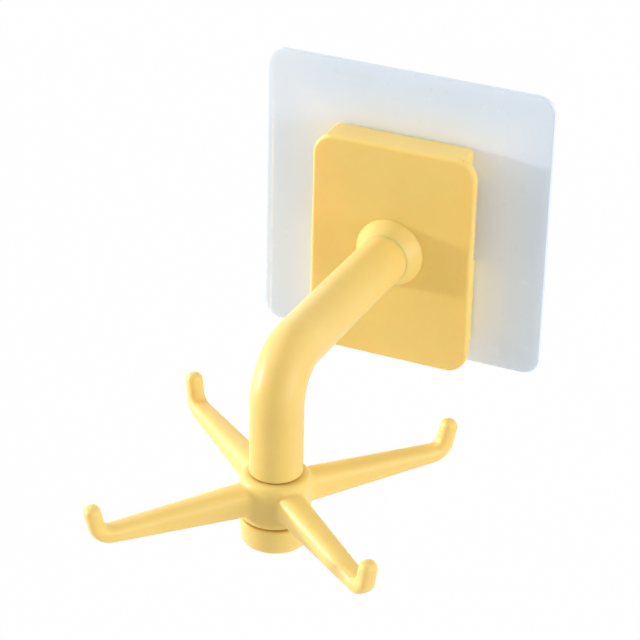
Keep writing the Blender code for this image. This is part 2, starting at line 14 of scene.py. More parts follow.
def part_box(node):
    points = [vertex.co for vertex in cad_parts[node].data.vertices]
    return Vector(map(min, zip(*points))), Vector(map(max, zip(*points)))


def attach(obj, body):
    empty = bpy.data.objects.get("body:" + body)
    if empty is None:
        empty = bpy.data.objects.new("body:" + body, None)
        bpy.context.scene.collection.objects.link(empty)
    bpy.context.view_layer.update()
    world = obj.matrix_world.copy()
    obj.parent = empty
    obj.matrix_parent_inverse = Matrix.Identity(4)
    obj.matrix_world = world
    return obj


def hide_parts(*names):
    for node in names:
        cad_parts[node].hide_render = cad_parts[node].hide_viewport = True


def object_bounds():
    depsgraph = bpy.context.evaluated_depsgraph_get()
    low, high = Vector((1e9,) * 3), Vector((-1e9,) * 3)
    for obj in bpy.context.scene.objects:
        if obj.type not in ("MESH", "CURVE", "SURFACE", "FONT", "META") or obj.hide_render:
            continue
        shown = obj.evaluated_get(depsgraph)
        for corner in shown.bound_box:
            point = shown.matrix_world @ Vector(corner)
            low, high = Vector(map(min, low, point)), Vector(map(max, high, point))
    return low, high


bl_info = {
    "name": "Kitchen hook rack",
    "version": (1, 0, 0),
    "blender": (4, 5, 0),
    "location": "3D View > Sidebar > Hook rack",
    "description": "Builds the finished pieces of a turning four-hook rack round its packed frame",
    "category": "Object",
}

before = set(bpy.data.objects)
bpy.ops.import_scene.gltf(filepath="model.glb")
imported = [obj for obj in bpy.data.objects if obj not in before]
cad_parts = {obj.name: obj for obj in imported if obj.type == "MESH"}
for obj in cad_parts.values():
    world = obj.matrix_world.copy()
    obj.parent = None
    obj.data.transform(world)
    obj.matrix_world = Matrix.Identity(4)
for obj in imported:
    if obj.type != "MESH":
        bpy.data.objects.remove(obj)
CAD_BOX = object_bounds()

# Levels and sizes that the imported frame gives
SHEET_LOW, SHEET_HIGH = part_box("backing_sheet")
FILM_LOW, FILM_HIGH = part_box("adhesive_film")
PLATE_LOW, PLATE_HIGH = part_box("cover_plate")
ARM_LOW, ARM_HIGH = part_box("hook_arm")
CAP_LOW, CAP_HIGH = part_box("end_cap")
UPPER_LOW, UPPER_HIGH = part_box("upper_thrust_washer")
LOWER_LOW, LOWER_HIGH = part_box("lower_thrust_washer")
WASHER_LOW, WASHER_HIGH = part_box("arm_washer")
ARM_SCREW_LOW, ARM_SCREW_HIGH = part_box("arm_screw")
CAP_SCREW_LOW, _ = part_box("cap_screw")

POST_Y = (CAP_LOW.y + CAP_HIGH.y) / 2
HUB_RADIUS = (CAP_HIGH.x - CAP_LOW.x) / 2
ARM_LEVEL = (WASHER_LOW.z + WASHER_HIGH.z) / 2

# Play at each face of the thrust washers
PLAY = 0.0003
# How far joined and cutting shapes run on past a surface
OVERRUN = 0.002
SHORT_OVERRUN = 0.001
MERGE_DISTANCE = 0.000005

# The ways to a rectangle's corners, anticlockwise
CORNERS = ((1, 1), (-1, 1), (-1, -1), (1, -1))
CORNER_STEPS = 16
BEVEL_STEPS = 3
ROUND_STEPS = 96
FINE_STEPS = 48
SHARP_ANGLE = math.radians(32)
QUARTER = math.radians(90)
UP_TO_FRONT = Matrix.Rotation(QUARTER, 4, "X")
WHITE = (1.0, 1.0, 1.0, 1.0)

# Node trees and materials


def math_operator(operation, swapped=False):
    """The method behind one operator of a value."""

    def method(self, other):
        terms = (other, self) if swapped else (self, other)
        return self.reckon(operation, *terms)

    return method


class Value:
    """A socket in a formula: each operator adds the Math node that works it out."""

    __add__ = math_operator("ADD")
    __radd__ = math_operator("ADD", swapped=True)
    __sub__ = math_operator("SUBTRACT")
    __rsub__ = math_operator("SUBTRACT", swapped=True)
    __mul__ = math_operator("MULTIPLY")
    __rmul__ = math_operator("MULTIPLY", swapped=True)
    __truediv__ = math_operator("DIVIDE")
    __rtruediv__ = math_operator("DIVIDE", swapped=True)

    def __init__(self, graph, socket):
        self.graph = graph
        self.socket = socket

    def __abs__(self):
        return self.reckon("ABSOLUTE", self)

    def reckon(self, operation, *terms):
        """The Math node of that operation on one or two terms."""
        inputs = dict(zip(("Value", "Value_001"), terms))
        node = self.graph.node("ShaderNodeMath", {"operation": operation}, inputs)
        return Value(self.graph, node.outputs[0])

    def largest(self, other):
        """The larger of the two."""
        return self.reckon("MAXIMUM", self, other)

    def step(self, start, end):
        """Rises smoothly from 0 at start to 1 at end."""
        inputs = {"Value": self, "From Min": start, "From Max": end}
        node = self.graph.node("ShaderNodeMapRange", {"interpolation_type": "SMOOTHSTEP"}, inputs)
        return Value(self.graph, node.outputs[0])

    def fall(self, start, end):
        """Falls smoothly from 1 at start to 0 at end."""
        return 1 - self.step(start, end)

    def band(self, start, full, fade, end):
        """Rises from 0 at start to 1 at full, and falls from 1 at fade to 0 at end."""
        return self.step(start, full) * self.fall(fade, end)


class Graph:
    """A node tree, of a material, the world or geometry, and the one method that adds its nodes."""

    def __init__(self, tree):
        self.tree = tree
        tree.nodes.clear()

    def node(self, kind, settings=None, inputs=None):
        """A new node: its settings are set first, and then its sockets, by identifier."""
        node = self.tree.nodes.new(kind)
        for name, setting in (settings or {}).items():
            setattr(node, name, setting)
        for name, term in (inputs or {}).items():
            socket = next(s for s in node.inputs if s.identifier == name)
            self.feed(socket, term)
        return node

    def feed(self, socket, term):
        """Links a value, a socket or a node's first output to the socket, or sets it to a number."""
        if isinstance(term, Value):
            term = term.socket
        elif isinstance(term, bpy.types.Node):
            term = term.outputs[0]
        if isinstance(term, bpy.types.NodeSocket):
            self.tree.links.new(term, socket)
        else:
            socket.default_value = term

    def noise(self, place, waves, detail=2.0, roughness=0.5):
        """A noise value, from 0 to 1, of so many waves a metre."""
        inputs = {"Vector": place, "Scale": waves, "Detail": detail, "Roughness": roughness}
        node = self.node("ShaderNodeTexNoise", None, inputs)
        return Value(self, node.outputs["Fac"])

    def mixed(self, share, first, second):
        """A colour between two colours."""
        inputs = {"Factor_Float": share, "A_Color": first, "B_Color": second}
        node = self.node("ShaderNodeMix", {"data_type": "RGBA"}, inputs)
        return next(s for s in node.outputs if s.identifier == "Result_Color")

    def bump(self, strength, distance, height):
        """A normal that follows a height value, of which 1 stands for the distance."""
        inputs = {"Strength": strength, "Distance": distance, "Height": height}
        return self.node("ShaderNodeBump", None, inputs)

    def mixed_shaders(self, share, first, second):
        """A shader between two shaders."""
        inputs = {"Fac": share, "Shader": first, "Shader_001": second}
        return self.node("ShaderNodeMixShader", None, inputs)

    def principled(self, inputs):
        """A Principled shader as the material's surface."""
        self.surface(self.node("ShaderNodeBsdfPrincipled", None, inputs))

    def surface(self, shader):
        """Ends a material in its output."""
        self.node("ShaderNodeOutputMaterial", None, {"Surface": shader})


def rgba(colour, share=1.0):
    """A colour for a node's socket, its parts times one share or one each, at most 1."""
    return (*np.minimum(np.multiply(colour[:3], share), 1.0), 1.0)


def material_graph(name):
    """A new material, its graph and its place socket in object coordinates."""
    material = bpy.data.materials.new(name)
    material.use_nodes = True
    graph = Graph(material.node_tree)
    place = graph.node("ShaderNodeTexCoord").outputs["Object"]
    return material, graph, place


def moulded_plastic(name, finish, yellow, bleed=0.35):
    """Satin moulded plastic: a slightly clouded colour, an uneven sheen and a faint orange peel."""
    material, graph, place = material_graph(name)
    cloud = graph.noise(place, 70.0, 3.0, 0.55)
    fleck = graph.noise(place, 1400.0)
    peel = graph.noise(place, 620.0, 2.0, 0.45)
    light = rgba(yellow, 1.01)
    body = graph.mixed(cloud.step(0.32, 0.68), light, rgba(yellow, (0.99, 0.98, 0.95)))
    inputs = {
        "Base Color": graph.mixed(fleck.step(0.60, 0.78) * 0.10, body, rgba(light, 1.08)),
        "Roughness": finish.plastic_roughness - 0.04 + cloud * 0.05 + fleck * 0.03,
        "Normal": graph.bump(0.55, finish.peel_depth, peel + fleck * 0.35),
        "IOR": 1.48,
        "Subsurface Weight": bleed,
        "Subsurface Radius": (1.0, 0.5, 0.2),
        "Subsurface Scale": 0.0025,
        "Sheen Weight": 0.15,
        "Sheen Roughness": 0.5,
    }
    graph.principled(inputs)
    return material


def frosted_sheet(name, finish, half):
    """The pad's frosted sheet: cool white, faintly mottled, with painted light round the plate and on its
    left, a painted highlight along its left edge and darker towards the lower right.
    """
    # How far the painted light bounced from the plate reaches, and the painted light on the left part
    # from the left edge
    bounce_light_reach, left_light_reach = 0.015, 0.030
    # Where the painted highlight along the left edge starts, is full, fades and ends, in from the left
    # edge and down from the top
    highlight_across, highlight_top = (0.0012, 0.0016, 0.0018, 0.0023), (0.016, 0.012)
    # The same for the darker patch towards the lower right, from the middle lines
    lower_right_across, lower_right_top = (0.020, 0.030, 0.034, 0.039), (-0.034, -0.027)
    # Where the dull rim starts and is full, in from the edge
    rim_across = (0.0004, 0.0001)

    material, graph, place = material_graph(name)
    axes = graph.node("ShaderNodeSeparateXYZ", None, {"Vector": place})
    x, z = (Value(graph, axes.outputs[axis]) for axis in "XZ")
    cloud = graph.noise(place, 38.0, 4.0, 0.6)
    speck = graph.noise(place, 420.0, 1.0, 0.4)
    haze = graph.noise(place, 160.0, 3.0, 0.6)
    dull = rgba(finish.sheet, 0.88)

    plate_middle = (PLATE_LOW.z + PLATE_HIGH.z) / 2
    plate_tall = (PLATE_HIGH.z - PLATE_LOW.z) / 2
    # How far a point lies outside the plate, for the painted bounce light round it
    beyond_plate = (abs(x) - PLATE_HIGH.x).largest(abs(z - plate_middle) - plate_tall)
    # A painted highlight in a band in from the left edge, fading down from the top
    painted_highlight = x.band(*(across - half for across in highlight_across))
    painted_highlight = painted_highlight * z.fall(*(half - down for down in highlight_top)) * haze.step(0.25, 0.65)
    lower_right_patch = x.band(*lower_right_across) * z.fall(*lower_right_top) * haze.step(0.3, 0.6)
    rim = abs(x).largest(abs(z)).step(*(half - inset for inset in rim_across))

    deep = rgba(finish.sheet, (0.965, 0.975, 0.985))
    colour = graph.mixed(cloud.step(0.3, 0.7), rgba(finish.sheet), deep)
    for share, tint in (
        (speck.step(0.66, 0.78) * 0.28, rgba(finish.sheet, 0.84)),
        (speck.step(0.34, 0.22) * 0.35, rgba(finish.pale_speck_and_painted_light)),
        # Painted light bounced from the plate onto the pad round it
        (beyond_plate.fall(0.0, bounce_light_reach) * 0.55, rgba(finish.sheet_bounce_light)),
        # Painted light on the pad's left part
        (x.fall(-half, left_light_reach - half) * 0.40, rgba(finish.pale_speck_and_painted_light)),
        # The painted highlight along the left edge
        (painted_highlight, WHITE),
        # Darker towards the lower right
        (lower_right_patch * 0.30, dull),
        (rim * 0.50, dull),
    ):
        colour = graph.mixed(share, colour, tint)
    inputs = {
        "Base Color": colour,
        "Roughness": 0.40 + haze * 0.10,
        "Normal": graph.bump(0.4, 0.00003, haze + speck.step(0.62, 0.76) * 0.6),
        "IOR": 1.45,
        "Subsurface Weight": 0.2,
        "Subsurface Radius": (1.0, 1.0, 1.0),
        "Subsurface Scale": 0.002,
    }
    graph.principled(inputs)
    return material


def clear_gel(name, colour):
    """Clear tacky film: glossy, slightly rippled, with a few pale bubbles."""
    material, graph, place = material_graph(name)
    ripple = graph.noise(place, 90.0, 3.0, 0.5)
    bubble = graph.noise(place, 700.0, 1.0, 0.3)
    spot = bubble.step(0.68, 0.74)
    tint = graph.mixed(ripple.step(0.3, 0.7), rgba(colour), rgba(colour, 0.94))
    inputs = {
        "Base Color": graph.mixed(spot * 0.6, tint, rgba((0.95, 0.96, 0.97))),
        "Roughness": 0.10 + ripple * 0.10,
        "Alpha": 0.45 + spot * 0.25,
        "Normal": graph.bump(0.6, 0.00006, ripple + bubble * 0.2),
        "IOR": 1.47,
    }
    graph.principled(inputs)
    return material


def turned_steel(name, finish):
    """Bright zinc plated steel with fine turning marks and a few duller patches."""
    material, graph, place = material_graph(name)
    patch = graph.noise(place, 500.0, 3.0, 0.6)
    drawn_out = {"Vector": place, "Vector_001": (1, 12, 12)}
    stretched = graph.node("ShaderNodeVectorMath", {"operation": "MULTIPLY"}, drawn_out)
    marks = graph.noise(stretched, 900.0, 2.0, 0.6)
    inputs = {
        "Base Color": graph.mixed(patch.step(0.35, 0.65), rgba(finish.steel), rgba(finish.steel, 0.80)),
        "Metallic": 1.0,
        "Roughness": 0.22 + patch * 0.14 + marks * 0.06,
        "Normal": graph.bump(0.4, 0.00001, marks),
    }
    graph.principled(inputs)
    return material


def waxy_nylon(name, finish):
    """Amber nylon: waxy, a little cloudy."""
    material, graph, place = material_graph(name)
    cloud = graph.noise(place, 350.0, 3.0, 0.6)
    grain = graph.noise(place, 2600.0)
    inputs = {
        "Base Color": graph.mixed(cloud.step(0.3, 0.7), rgba(finish.nylon), rgba(finish.nylon, 0.8)),
        "Roughness": 0.42 + cloud * 0.12,
        "Normal": graph.bump(0.4, 0.00001, grain),
        "Subsurface Weight": 0.15,
        "Subsurface Scale": 0.001,
    }
    graph.principled(inputs)
    return material


# Shapes


def rounded(corners, steps):
    """An outline through (a, b, radius) corners, each corner an arc of its radius."""
    outline = []
    for i, (a, b, radius) in enumerate(corners):
        here = Vector((a, b))
        if radius == 0:
            outline.append((a, b))
            continue
        before = (Vector(corners[i - 1][:2]) - here).normalized()
        after = (Vector(corners[(i + 1) % len(corners)][:2]) - here).normalized()
        half = before.angle(after) / 2
        start = before * radius / math.tan(half)
        end = after * radius / math.tan(half)
        centre = (before + after).normalized() * radius / math.sin(half)
        sweep = math.pi - 2 * half
        for step in range(steps + 1):
            angle = sweep * step / steps
            reach = (start - centre) * math.sin(sweep - angle) + (end - centre) * math.sin(angle)
            point = here + centre + reach / math.sin(sweep)
            outline.append((point.x, point.y))
    return outline


def rounded_rectangle(half_width, half_height, radius):
    """A rectangle about the origin with round corners, anticlockwise."""
    return rounded([(a * half_width, b * half_height, radius) for a, b in CORNERS], CORNER_STEPS)


def square_face(name, half, place):
    """A mesh of one square face, each of whose corners place(a, b) puts in space."""
    corners = [place(a * half, b * half) for a, b in ((-1, -1), (1, -1), (1, 1), (-1, 1))]
    mesh = bpy.data.meshes.new(name)
    mesh.from_pydata(corners, [], [(0, 1, 2, 3)])
    return mesh


def to_mesh(shape):
    """The bmesh as a mesh whose faces point out."""
    bmesh.ops.remove_doubles(shape, verts=shape.verts, dist=MERGE_DISTANCE)
    bmesh.ops.recalc_face_normals(shape, faces=shape.faces)
    mesh = bpy.data.meshes.new("shape")
    shape.to_mesh(mesh)
    shape.free()
    return mesh


def joined_rings(rings):
    """A bmesh through rings of equal count, with a face over each end."""
    shape = bmesh.new()
    loops = [[shape.verts.new(point) for point in ring] for ring in rings]
    count = len(rings[0])
    for lower, upper in zip(loops, loops[1:]):
        for i in range(count):
            after = (i + 1) % count
            shape.faces.new((lower[i], lower[after], upper[after], upper[i]))
    shape.faces.new(loops[0])
    shape.faces.new(loops[-1])
    return shape


def spun(profile, steps=ROUND_STEPS, middle=0.0, ring=False):
    """A turned mesh about the upright line at y = middle, from (radius, height) points.

    A ring's profile closes on itself.
    """
    shape = bmesh.new()
    loops = []
    angles = [2 * math.pi * i / steps for i in range(steps)]
    for radius, height in profile:
        places = [(radius * math.cos(a), middle + radius * math.sin(a), height) for a in angles]
        if radius == 0:
            places = [(0.0, middle, height)]
        loops.append([shape.verts.new(place) for place in places])
    pairs = list(zip(loops, loops[1:]))
    if ring:
        pairs.append((loops[-1], loops[0]))
    for upper, lower in pairs:
        for i in range(steps):
            after = (i + 1) % steps
            if len(upper) == 1:
                shape.faces.new((upper[0], lower[i], lower[after]))
            elif len(lower) == 1:
                shape.faces.new((upper[i], lower[0], upper[after]))
            else:
                shape.faces.new((upper[i], lower[i], lower[after], upper[after]))
    return to_mesh(shape)


def bevel_steep(shape, offset, segments):
    """Rounds the bmesh's sharp edges."""
    steep = [e for e in shape.edges if e.calc_face_angle(0) > SHARP_ANGLE]
    shaping = {"segments": segments, "profile": 0.5, "affect": "EDGES", "clamp_overlap": True}
    bmesh.ops.bevel(shape, geom=steep, offset=offset, **shaping)


def prism(outline, low, high, edge=0.0):
    """An outline along Z between two levels, its sharp edges rounded if it has an edge radius."""
    shape = joined_rings([[(a, b, level) for a, b in outline] for level in (low, high)])
    bmesh.ops.recalc_face_normals(shape, faces=shape.faces)
    if edge:
        bevel_steep(shape, edge, BEVEL_STEPS)
    return to_mesh(shape)


def slab(outline_at, depths):
    """An upright flat piece: outline_at(inset) is its (x, z) outline, depths are its (inset, y) steps."""
    return to_mesh(joined_rings([[(x, y, z) for x, z in outline_at(inset)] for inset, y in depths]))


def facing_front(mesh, y):
    """Tips a mesh that is turned about Z to point along -Y from the level y, on the arm's line."""
    mesh.transform(Matrix.Translation((0, y, ARM_LEVEL)) @ UP_TO_FRONT)
    return mesh


def round_bar(radius, low, high, steps=ROUND_STEPS):
    """A plain round bar along Y on the arm's line, for cutting and joining."""
    return facing_front(spun([(0, 0), (radius, 0), (radius, high - low), (0, high - low)], steps), high)


def d_bar(radius, flat, low, high):
    """A round bar along Y with a flat along its top: what is cut off reaches well past the bar."""
    reach = radius * 1.5
    near, far = low - reach, high + reach
    outline = [(-reach, near), (reach, near), (reach, far), (-reach, far)]
    waste = prism(outline, ARM_LEVEL + flat, ARM_LEVEL + reach * 2)
    return combined(round_bar(radius, low, high, FINE_STEPS), (), [waste])


def scratch_object(name, mesh):
    """An object that is only there while a shape is worked out."""
    obj = bpy.data.objects.new(name, mesh)
    bpy.context.scene.collection.objects.link(obj)
    return obj


def settled(obj):
    """The object's mesh as its modifiers leave it, with the object gone."""
    bpy.context.view_layer.update()
    graph = bpy.context.evaluated_depsgraph_get()
    mesh = bpy.data.meshes.new_from_object(obj.evaluated_get(graph))
    bpy.data.objects.remove(obj, do_unlink=True)
    return mesh


def combined(base, added=(), cut=()):
    """One mesh from a base, what is joined to it and what is cut out of it."""
    obj = scratch_object("joined", base)
    tools = []
    for operation, meshes in (("UNION", added), ("DIFFERENCE", cut)):
        for mesh in meshes:
            tool = scratch_object("tool", mesh)
            modifier = obj.modifiers.new(operation, "BOOLEAN")
            modifier.operation = operation
            modifier.object = tool
            modifier.solver = "EXACT"
            tools.append(tool)
    mesh = settled(obj)
    for tool in tools:
        bpy.data.objects.remove(tool, do_unlink=True)
    return mesh


def through_nodes(data, tree, values):
    """The mesh that a geometry tree makes of a curve or mesh with those inputs."""
    obj = scratch_object("swept", data)
    modifier = obj.modifiers.new("nodes", "NODES")
    modifier.node_group = tree
    for item in tree.interface.items_tree:
        if item.item_type == "SOCKET" and item.in_out == "INPUT" and item.name in values:
            modifier[item.identifier] = values[item.name]
    return settled(obj)


def relax(mesh, shares):
    """Draws each point towards the middle of its neighbours, once for each share.

    A share is a number, or a function of the points that gives each its own.
    """
    count = len(mesh.vertices)
    places = np.empty(count * 3, np.float32)
    mesh.vertices.foreach_get("co", places)
    places = places.reshape(-1, 3).astype(float)
    ends = np.empty(len(mesh.edges) * 2, np.int32)
    mesh.edges.foreach_get("vertices", ends)
    first, second = ends.reshape(-1, 2).T
    number = np.bincount(first, minlength=count) + np.bincount(second, minlength=count)
    for share in shares:
        middle = np.empty_like(places)
        for axis in range(3):
            along = np.bincount(first, places[second, axis], count)
            back = np.bincount(second, places[first, axis], count)
            middle[:, axis] = (along + back) / number
        weight = share(places) if callable(share) else share
        places += np.reshape(weight, (-1, 1)) * (middle - places)
    mesh.vertices.foreach_set("co", places.astype(np.float32).ravel())
    mesh.update()


def between(start, end, share):
    """The value that lies a share of the way from start to end."""
    return start + (end - start) * share


def piece(name, mesh, material, body, replaced=(), crisp=True):
    """Adds a finished piece: its mesh in place, its material, its body and the nodes it replaces.

    A crisp one keeps its sharp edges, and the others are smooth all over.
    """
    mesh.name = name
    mesh.materials.clear()
    mesh.materials.append(material)
    mesh.polygons.foreach_set("material_index", [0] * len(mesh.polygons))
    mesh.shade_smooth()
    obj = bpy.data.objects.new(name, mesh)
    bpy.context.scene.collection.objects.link(obj)
    if crisp:
        mesh.set_sharp_from_angle(angle=SHARP_ANGLE)
        even = obj.modifiers.new("even_normals", "WEIGHTED_NORMAL")
        even.keep_sharp = True
    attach(obj, body)
    if replaced:
        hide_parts(*replaced)


def finish_node(name, material):
    """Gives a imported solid, whose shape stays as it is, its material."""
    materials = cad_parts[name].data.materials
    materials.clear()
    materials.append(material)


# Geometry trees


def geometry_tree(name, inputs):
    """A geometry tree, its graph and its inputs: a geometry, the named ones by kind and a material."""
    tree = bpy.data.node_groups.new(name, "GeometryNodeTree")
    for label, kind in {"Geometry": "Geometry", **inputs, "Material": "Material"}.items():
        tree.interface.new_socket(label, in_out="INPUT", socket_type="NodeSocket" + kind)
    tree.interface.new_socket("Geometry", in_out="OUTPUT", socket_type="NodeSocketGeometry")
    graph = Graph(tree)
    return tree, graph, graph.node("NodeGroupInput").outputs


def close_tree(graph, geometry, material):
    """Ends a geometry tree in real geometry with its material."""
    real = graph.node("GeometryNodeRealizeInstances", None, {"Geometry": geometry})
    shown = graph.node("GeometryNodeSetMaterial", None, {"Geometry": real, "Material": material})
    output = graph.node("NodeGroupOutput")
    graph.feed(output.inputs[0], shown)


def circle(graph, sides, radius):
    """The outline of a bar or a ridge."""
    inputs = {"Resolution": sides, "Radius": radius}
    return graph.node("GeometryNodeCurvePrimitiveCircle", {"mode": "RADIUS"}, inputs)


def sweep_tree():
    """Rounds a route's corners and sweeps a round bar along it."""
    sizes = {"Radius": "Float", "Corner Radius": "Float", "Corner Steps": "Int", "Sides": "Int"}
    tree, graph, given = geometry_tree("swept_bar", sizes)
    corners = {
        "Curve": given["Geometry"],
        "Radius": given["Corner Radius"],
        "Count": given["Corner Steps"],
        "Limit Radius": True,
    }
    route = graph.node("GeometryNodeFilletCurve", {"mode": "POLY"}, corners)
    sweep = {
        "Curve": route,
        "Profile Curve": circle(graph, given["Sides"], given["Radius"]),
        "Scale": graph.node("GeometryNodeInputRadius"),
        "Fill Caps": True,
    }
    bar = graph.node("GeometryNodeCurveToMesh", None, sweep)
    close_tree(graph, bar, given["Material"])
    return tree


def ring_of_copies_tree():
    """Sets copies of a shape evenly round an upright line through the centre."""
    sizes = {"Count": "Int", "First Angle": "Float", "Centre": "Vector"}
    tree, graph, given = geometry_tree("ring_of_copies", sizes)
    centres = {"Count": given["Count"], "Position": given["Centre"]}
    points = graph.node("GeometryNodePoints", None, centres)
    order = Value(graph, graph.node("GeometryNodeInputIndex").outputs[0])
    angle = order * (2 * math.pi) / Value(graph, given["Count"]) + Value(graph, given["First Angle"])
    turn = graph.node("ShaderNodeCombineXYZ", None, {"Z": angle})
    placing = {"Points": points, "Instance": given["Geometry"], "Rotation": turn}
    copies = graph.node("GeometryNodeInstanceOnPoints", None, placing)
    close_tree(graph, copies, given["Material"])
    return tree


def thread_tree():
    """A screw thread: a three sided ridge wound along a shank."""
    sizes = {"Radius": "Float", "Ridge": "Float", "Turns": "Float", "Length": "Float", "Steps": "Int"}
    tree, graph, given = geometry_tree("screw_thread", sizes)
    spiral = {
        "Resolution": given["Steps"],
        "Rotations": given["Turns"],
        "Start Radius": given["Radius"],
        "End Radius": given["Radius"],
        "Height": given["Length"],
    }
    winding = graph.node("GeometryNodeCurveSpiral", None, spiral)
    sweep = {"Curve": winding, "Profile Curve": circle(graph, 3, given["Ridge"]), "Fill Caps": True}
    thread = graph.node("GeometryNodeCurveToMesh", None, sweep)
    both = graph.node("GeometryNodeJoinGeometry")
    graph.feed(both.inputs[0], thread)
    graph.feed(both.inputs[0], given["Geometry"])
    close_tree(graph, both, given["Material"])
    return tree


def bubbles_tree():
    """Scatters shallow bubbles over the faces that it is given."""
    sizes = {label: "Float" for label in ("Density", "Spacing", "Smallest", "Largest", "Rise")}
    tree, graph, given = geometry_tree("trapped_bubbles", {**sizes, "Seed": "Int"})
    scatter = {
        "Mesh": given["Geometry"],
        "Distance Min": given["Spacing"],
        "Density Max": given["Density"],
        "Seed": given["Seed"],
    }
    poisson = {"distribute_method": "POISSON"}
    scattered = graph.node("GeometryNodeDistributePointsOnFaces", poisson, scatter)
    limits = {"Min_001": given["Smallest"], "Max_001": given["Largest"], "Seed": given["Seed"]}
    size = graph.node("FunctionNodeRandomValue", {"data_type": "FLOAT"}, limits)
    wide = Value(graph, next(s for s in size.outputs if s.identifier == "Value_001"))
    deep = wide * Value(graph, given["Rise"])
    spread = graph.node("ShaderNodeCombineXYZ", None, {"X": wide, "Y": deep, "Z": wide})
    drop = graph.node("GeometryNodeMeshUVSphere", None, {"Segments": 12, "Rings": 8, "Radius": 1.0})
    placing = {"Points": scattered, "Instance": drop, "Scale": spread}
    copies = graph.node("GeometryNodeInstanceOnPoints", None, placing)
    close_tree(graph, copies, given["Material"])
    return tree


# Properties


def colour_setting(name, description, default):
    """A colour that the user can change."""
    return bpy.props.FloatVectorProperty(
        name=name, description=description, subtype="COLOR", size=3, min=0.0, max=1.0, default=default
    )


def share_setting(name, description, default):
    """A share from 0 to 1 that the user can change."""
    return bpy.props.FloatProperty(
        name=name, description=description, subtype="FACTOR", min=0.0, max=1.0, default=default
    )


def length_setting(name, description, default):
    """A length that the user can change."""
    return bpy.props.FloatProperty(name=name, description=description, unit="LENGTH", default=default)


def angle_setting(name, description, degrees):
    """An angle that the user can change."""
    return bpy.props.FloatProperty(
        name=name, description=description, unit="ROTATION", default=math.radians(degrees)
    )


class HookRackFinish(bpy.types.PropertyGroup):
    """Colours and sheen of the rack's materials."""

    yellow: colour_setting("Yellow plastic", "Colour of the plate, hooks and cap", (0.90, 0.655, 0.183))
    arm_yellow: colour_setting(
        "Arm yellow", "Colour of the arm, a shade deeper than the other pieces", (0.870, 0.622, 0.174)
    )
    plastic_roughness: share_setting("Plastic roughness", "How satin the yellow plastic is", 0.42)
    peel_depth: length_setting("Orange peel", "Depth of the moulded plastic's faint ripple", 0.000010)
    sheet: colour_setting("Frosted sheet", "Colour of the wall pad's sheet", (0.775, 0.865, 0.975))
    # Also the colour of the painted light on the pad's left part; the pale specks use it as well
    pale_speck_and_painted_light: colour_setting("Pale sheet", "Colour of the wall pad at its palest", (0.95, 0.97, 0.99))
    # The colour of the painted light bounced from the plate onto the pad
    sheet_bounce_light: colour_setting("Warm sheet", "Colour of the wall pad by the plate", (0.96, 0.96, 0.95))
    gel: colour_setting("Adhesive film", "Colour of the clear film behind the sheet", (0.80, 0.84, 0.87))
    steel: colour_setting("Steel", "Colour of the screws and the flat washer", (0.60, 0.61, 0.62))
    nylon: colour_setting("Nylon", "Colour of the two thrust washers", (0.46, 0.30, 0.09))


class HookRackShape(bpy.types.PropertyGroup):
    """Sizes of the rack's finished pieces."""

    sheet_corner: length_setting("Sheet corner", "Corner radius of the wall pad", 0.0047)
    plate_corner: length_setting("Plate corner", "Corner radius of the cover plate", 0.0058)
    plate_rim: length_setting("Plate rim", "Rounding of the cover plate's front edge", 0.0010)
    arm_radius: length_setting("Arm radius", "Half the arm's thickness", 0.0067)
    elbow_radius: length_setting("Elbow radius", "Radius of the arm's bend", 0.0116)
    boss_radius: length_setting("Boss radius", "Radius of the boss where it meets the plate", 0.0094)
    arm_rise: angle_setting("Arm rise", "How steeply the arm rises from the boss", 2)
    hub_height: length_setting("Hub height", "Height of the turning hub", 0.01185)
    hook_count: bpy.props.IntProperty(
        name="Hooks", description="Number of hooks round the hub", min=1, max=8, default=4
    )
    first_hook: angle_setting("First hook", "Angle of the first hook at rest", 50.6)
    hook_reach: length_setting("Hook reach", "From the hub's axis to a hook's tip", 0.0488)
    tip_rise: length_setting("Tip rise", "How far a hook's tip stands above its middle line", 0.0069)
    mould_detail: length_setting("Mould detail", "Spacing of the points on the hub and hooks", 0.00030)


class HookRackStudio(bpy.types.PropertyGroup):
    """The camera, lights and floor."""

    camera_azimuth: angle_setting("Azimuth", "Camera's turn round the rack", 23.15)
    camera_elevation: angle_setting("Elevation", "Camera's height angle", 28.2773)
    camera_roll: angle_setting("Roll", "Camera's turn round its own line of sight", 1.3673)
    camera_place: bpy.props.FloatVectorProperty(
        name="Camera place",
        description="Where the camera stands",
        subtype="XYZ",
        unit="LENGTH",
        size=3,
        default=(0.22565, -0.58458, 0.30278),
    )
    lens: bpy.props.FloatProperty(
        name="Lens", description="Focal length in millimetres on a 36 mm sensor", default=147.29
    )
    lamp_level: bpy.props.FloatProperty(
        name="Lamps", description="Strength of all the lamps together", min=0.0, default=1.0
    )
    fill_level: bpy.props.FloatProperty(
        name="Fill", description="Strength of the light all round", min=0.0, default=0.27
    )
    floor_glow: share_setting("Floor glow", "How white the floor is seen where nothing shades it", 0.97)
    floor_drop: length_setting("Floor drop", "How far the floor lies below the rack", 0.25)


# Operators


def settings():
    """The scene's finish, shape and studio settings."""
    scene = bpy.context.scene
    return scene.hook_rack_finish, scene.hook_rack_shape, scene.hook_rack_studio


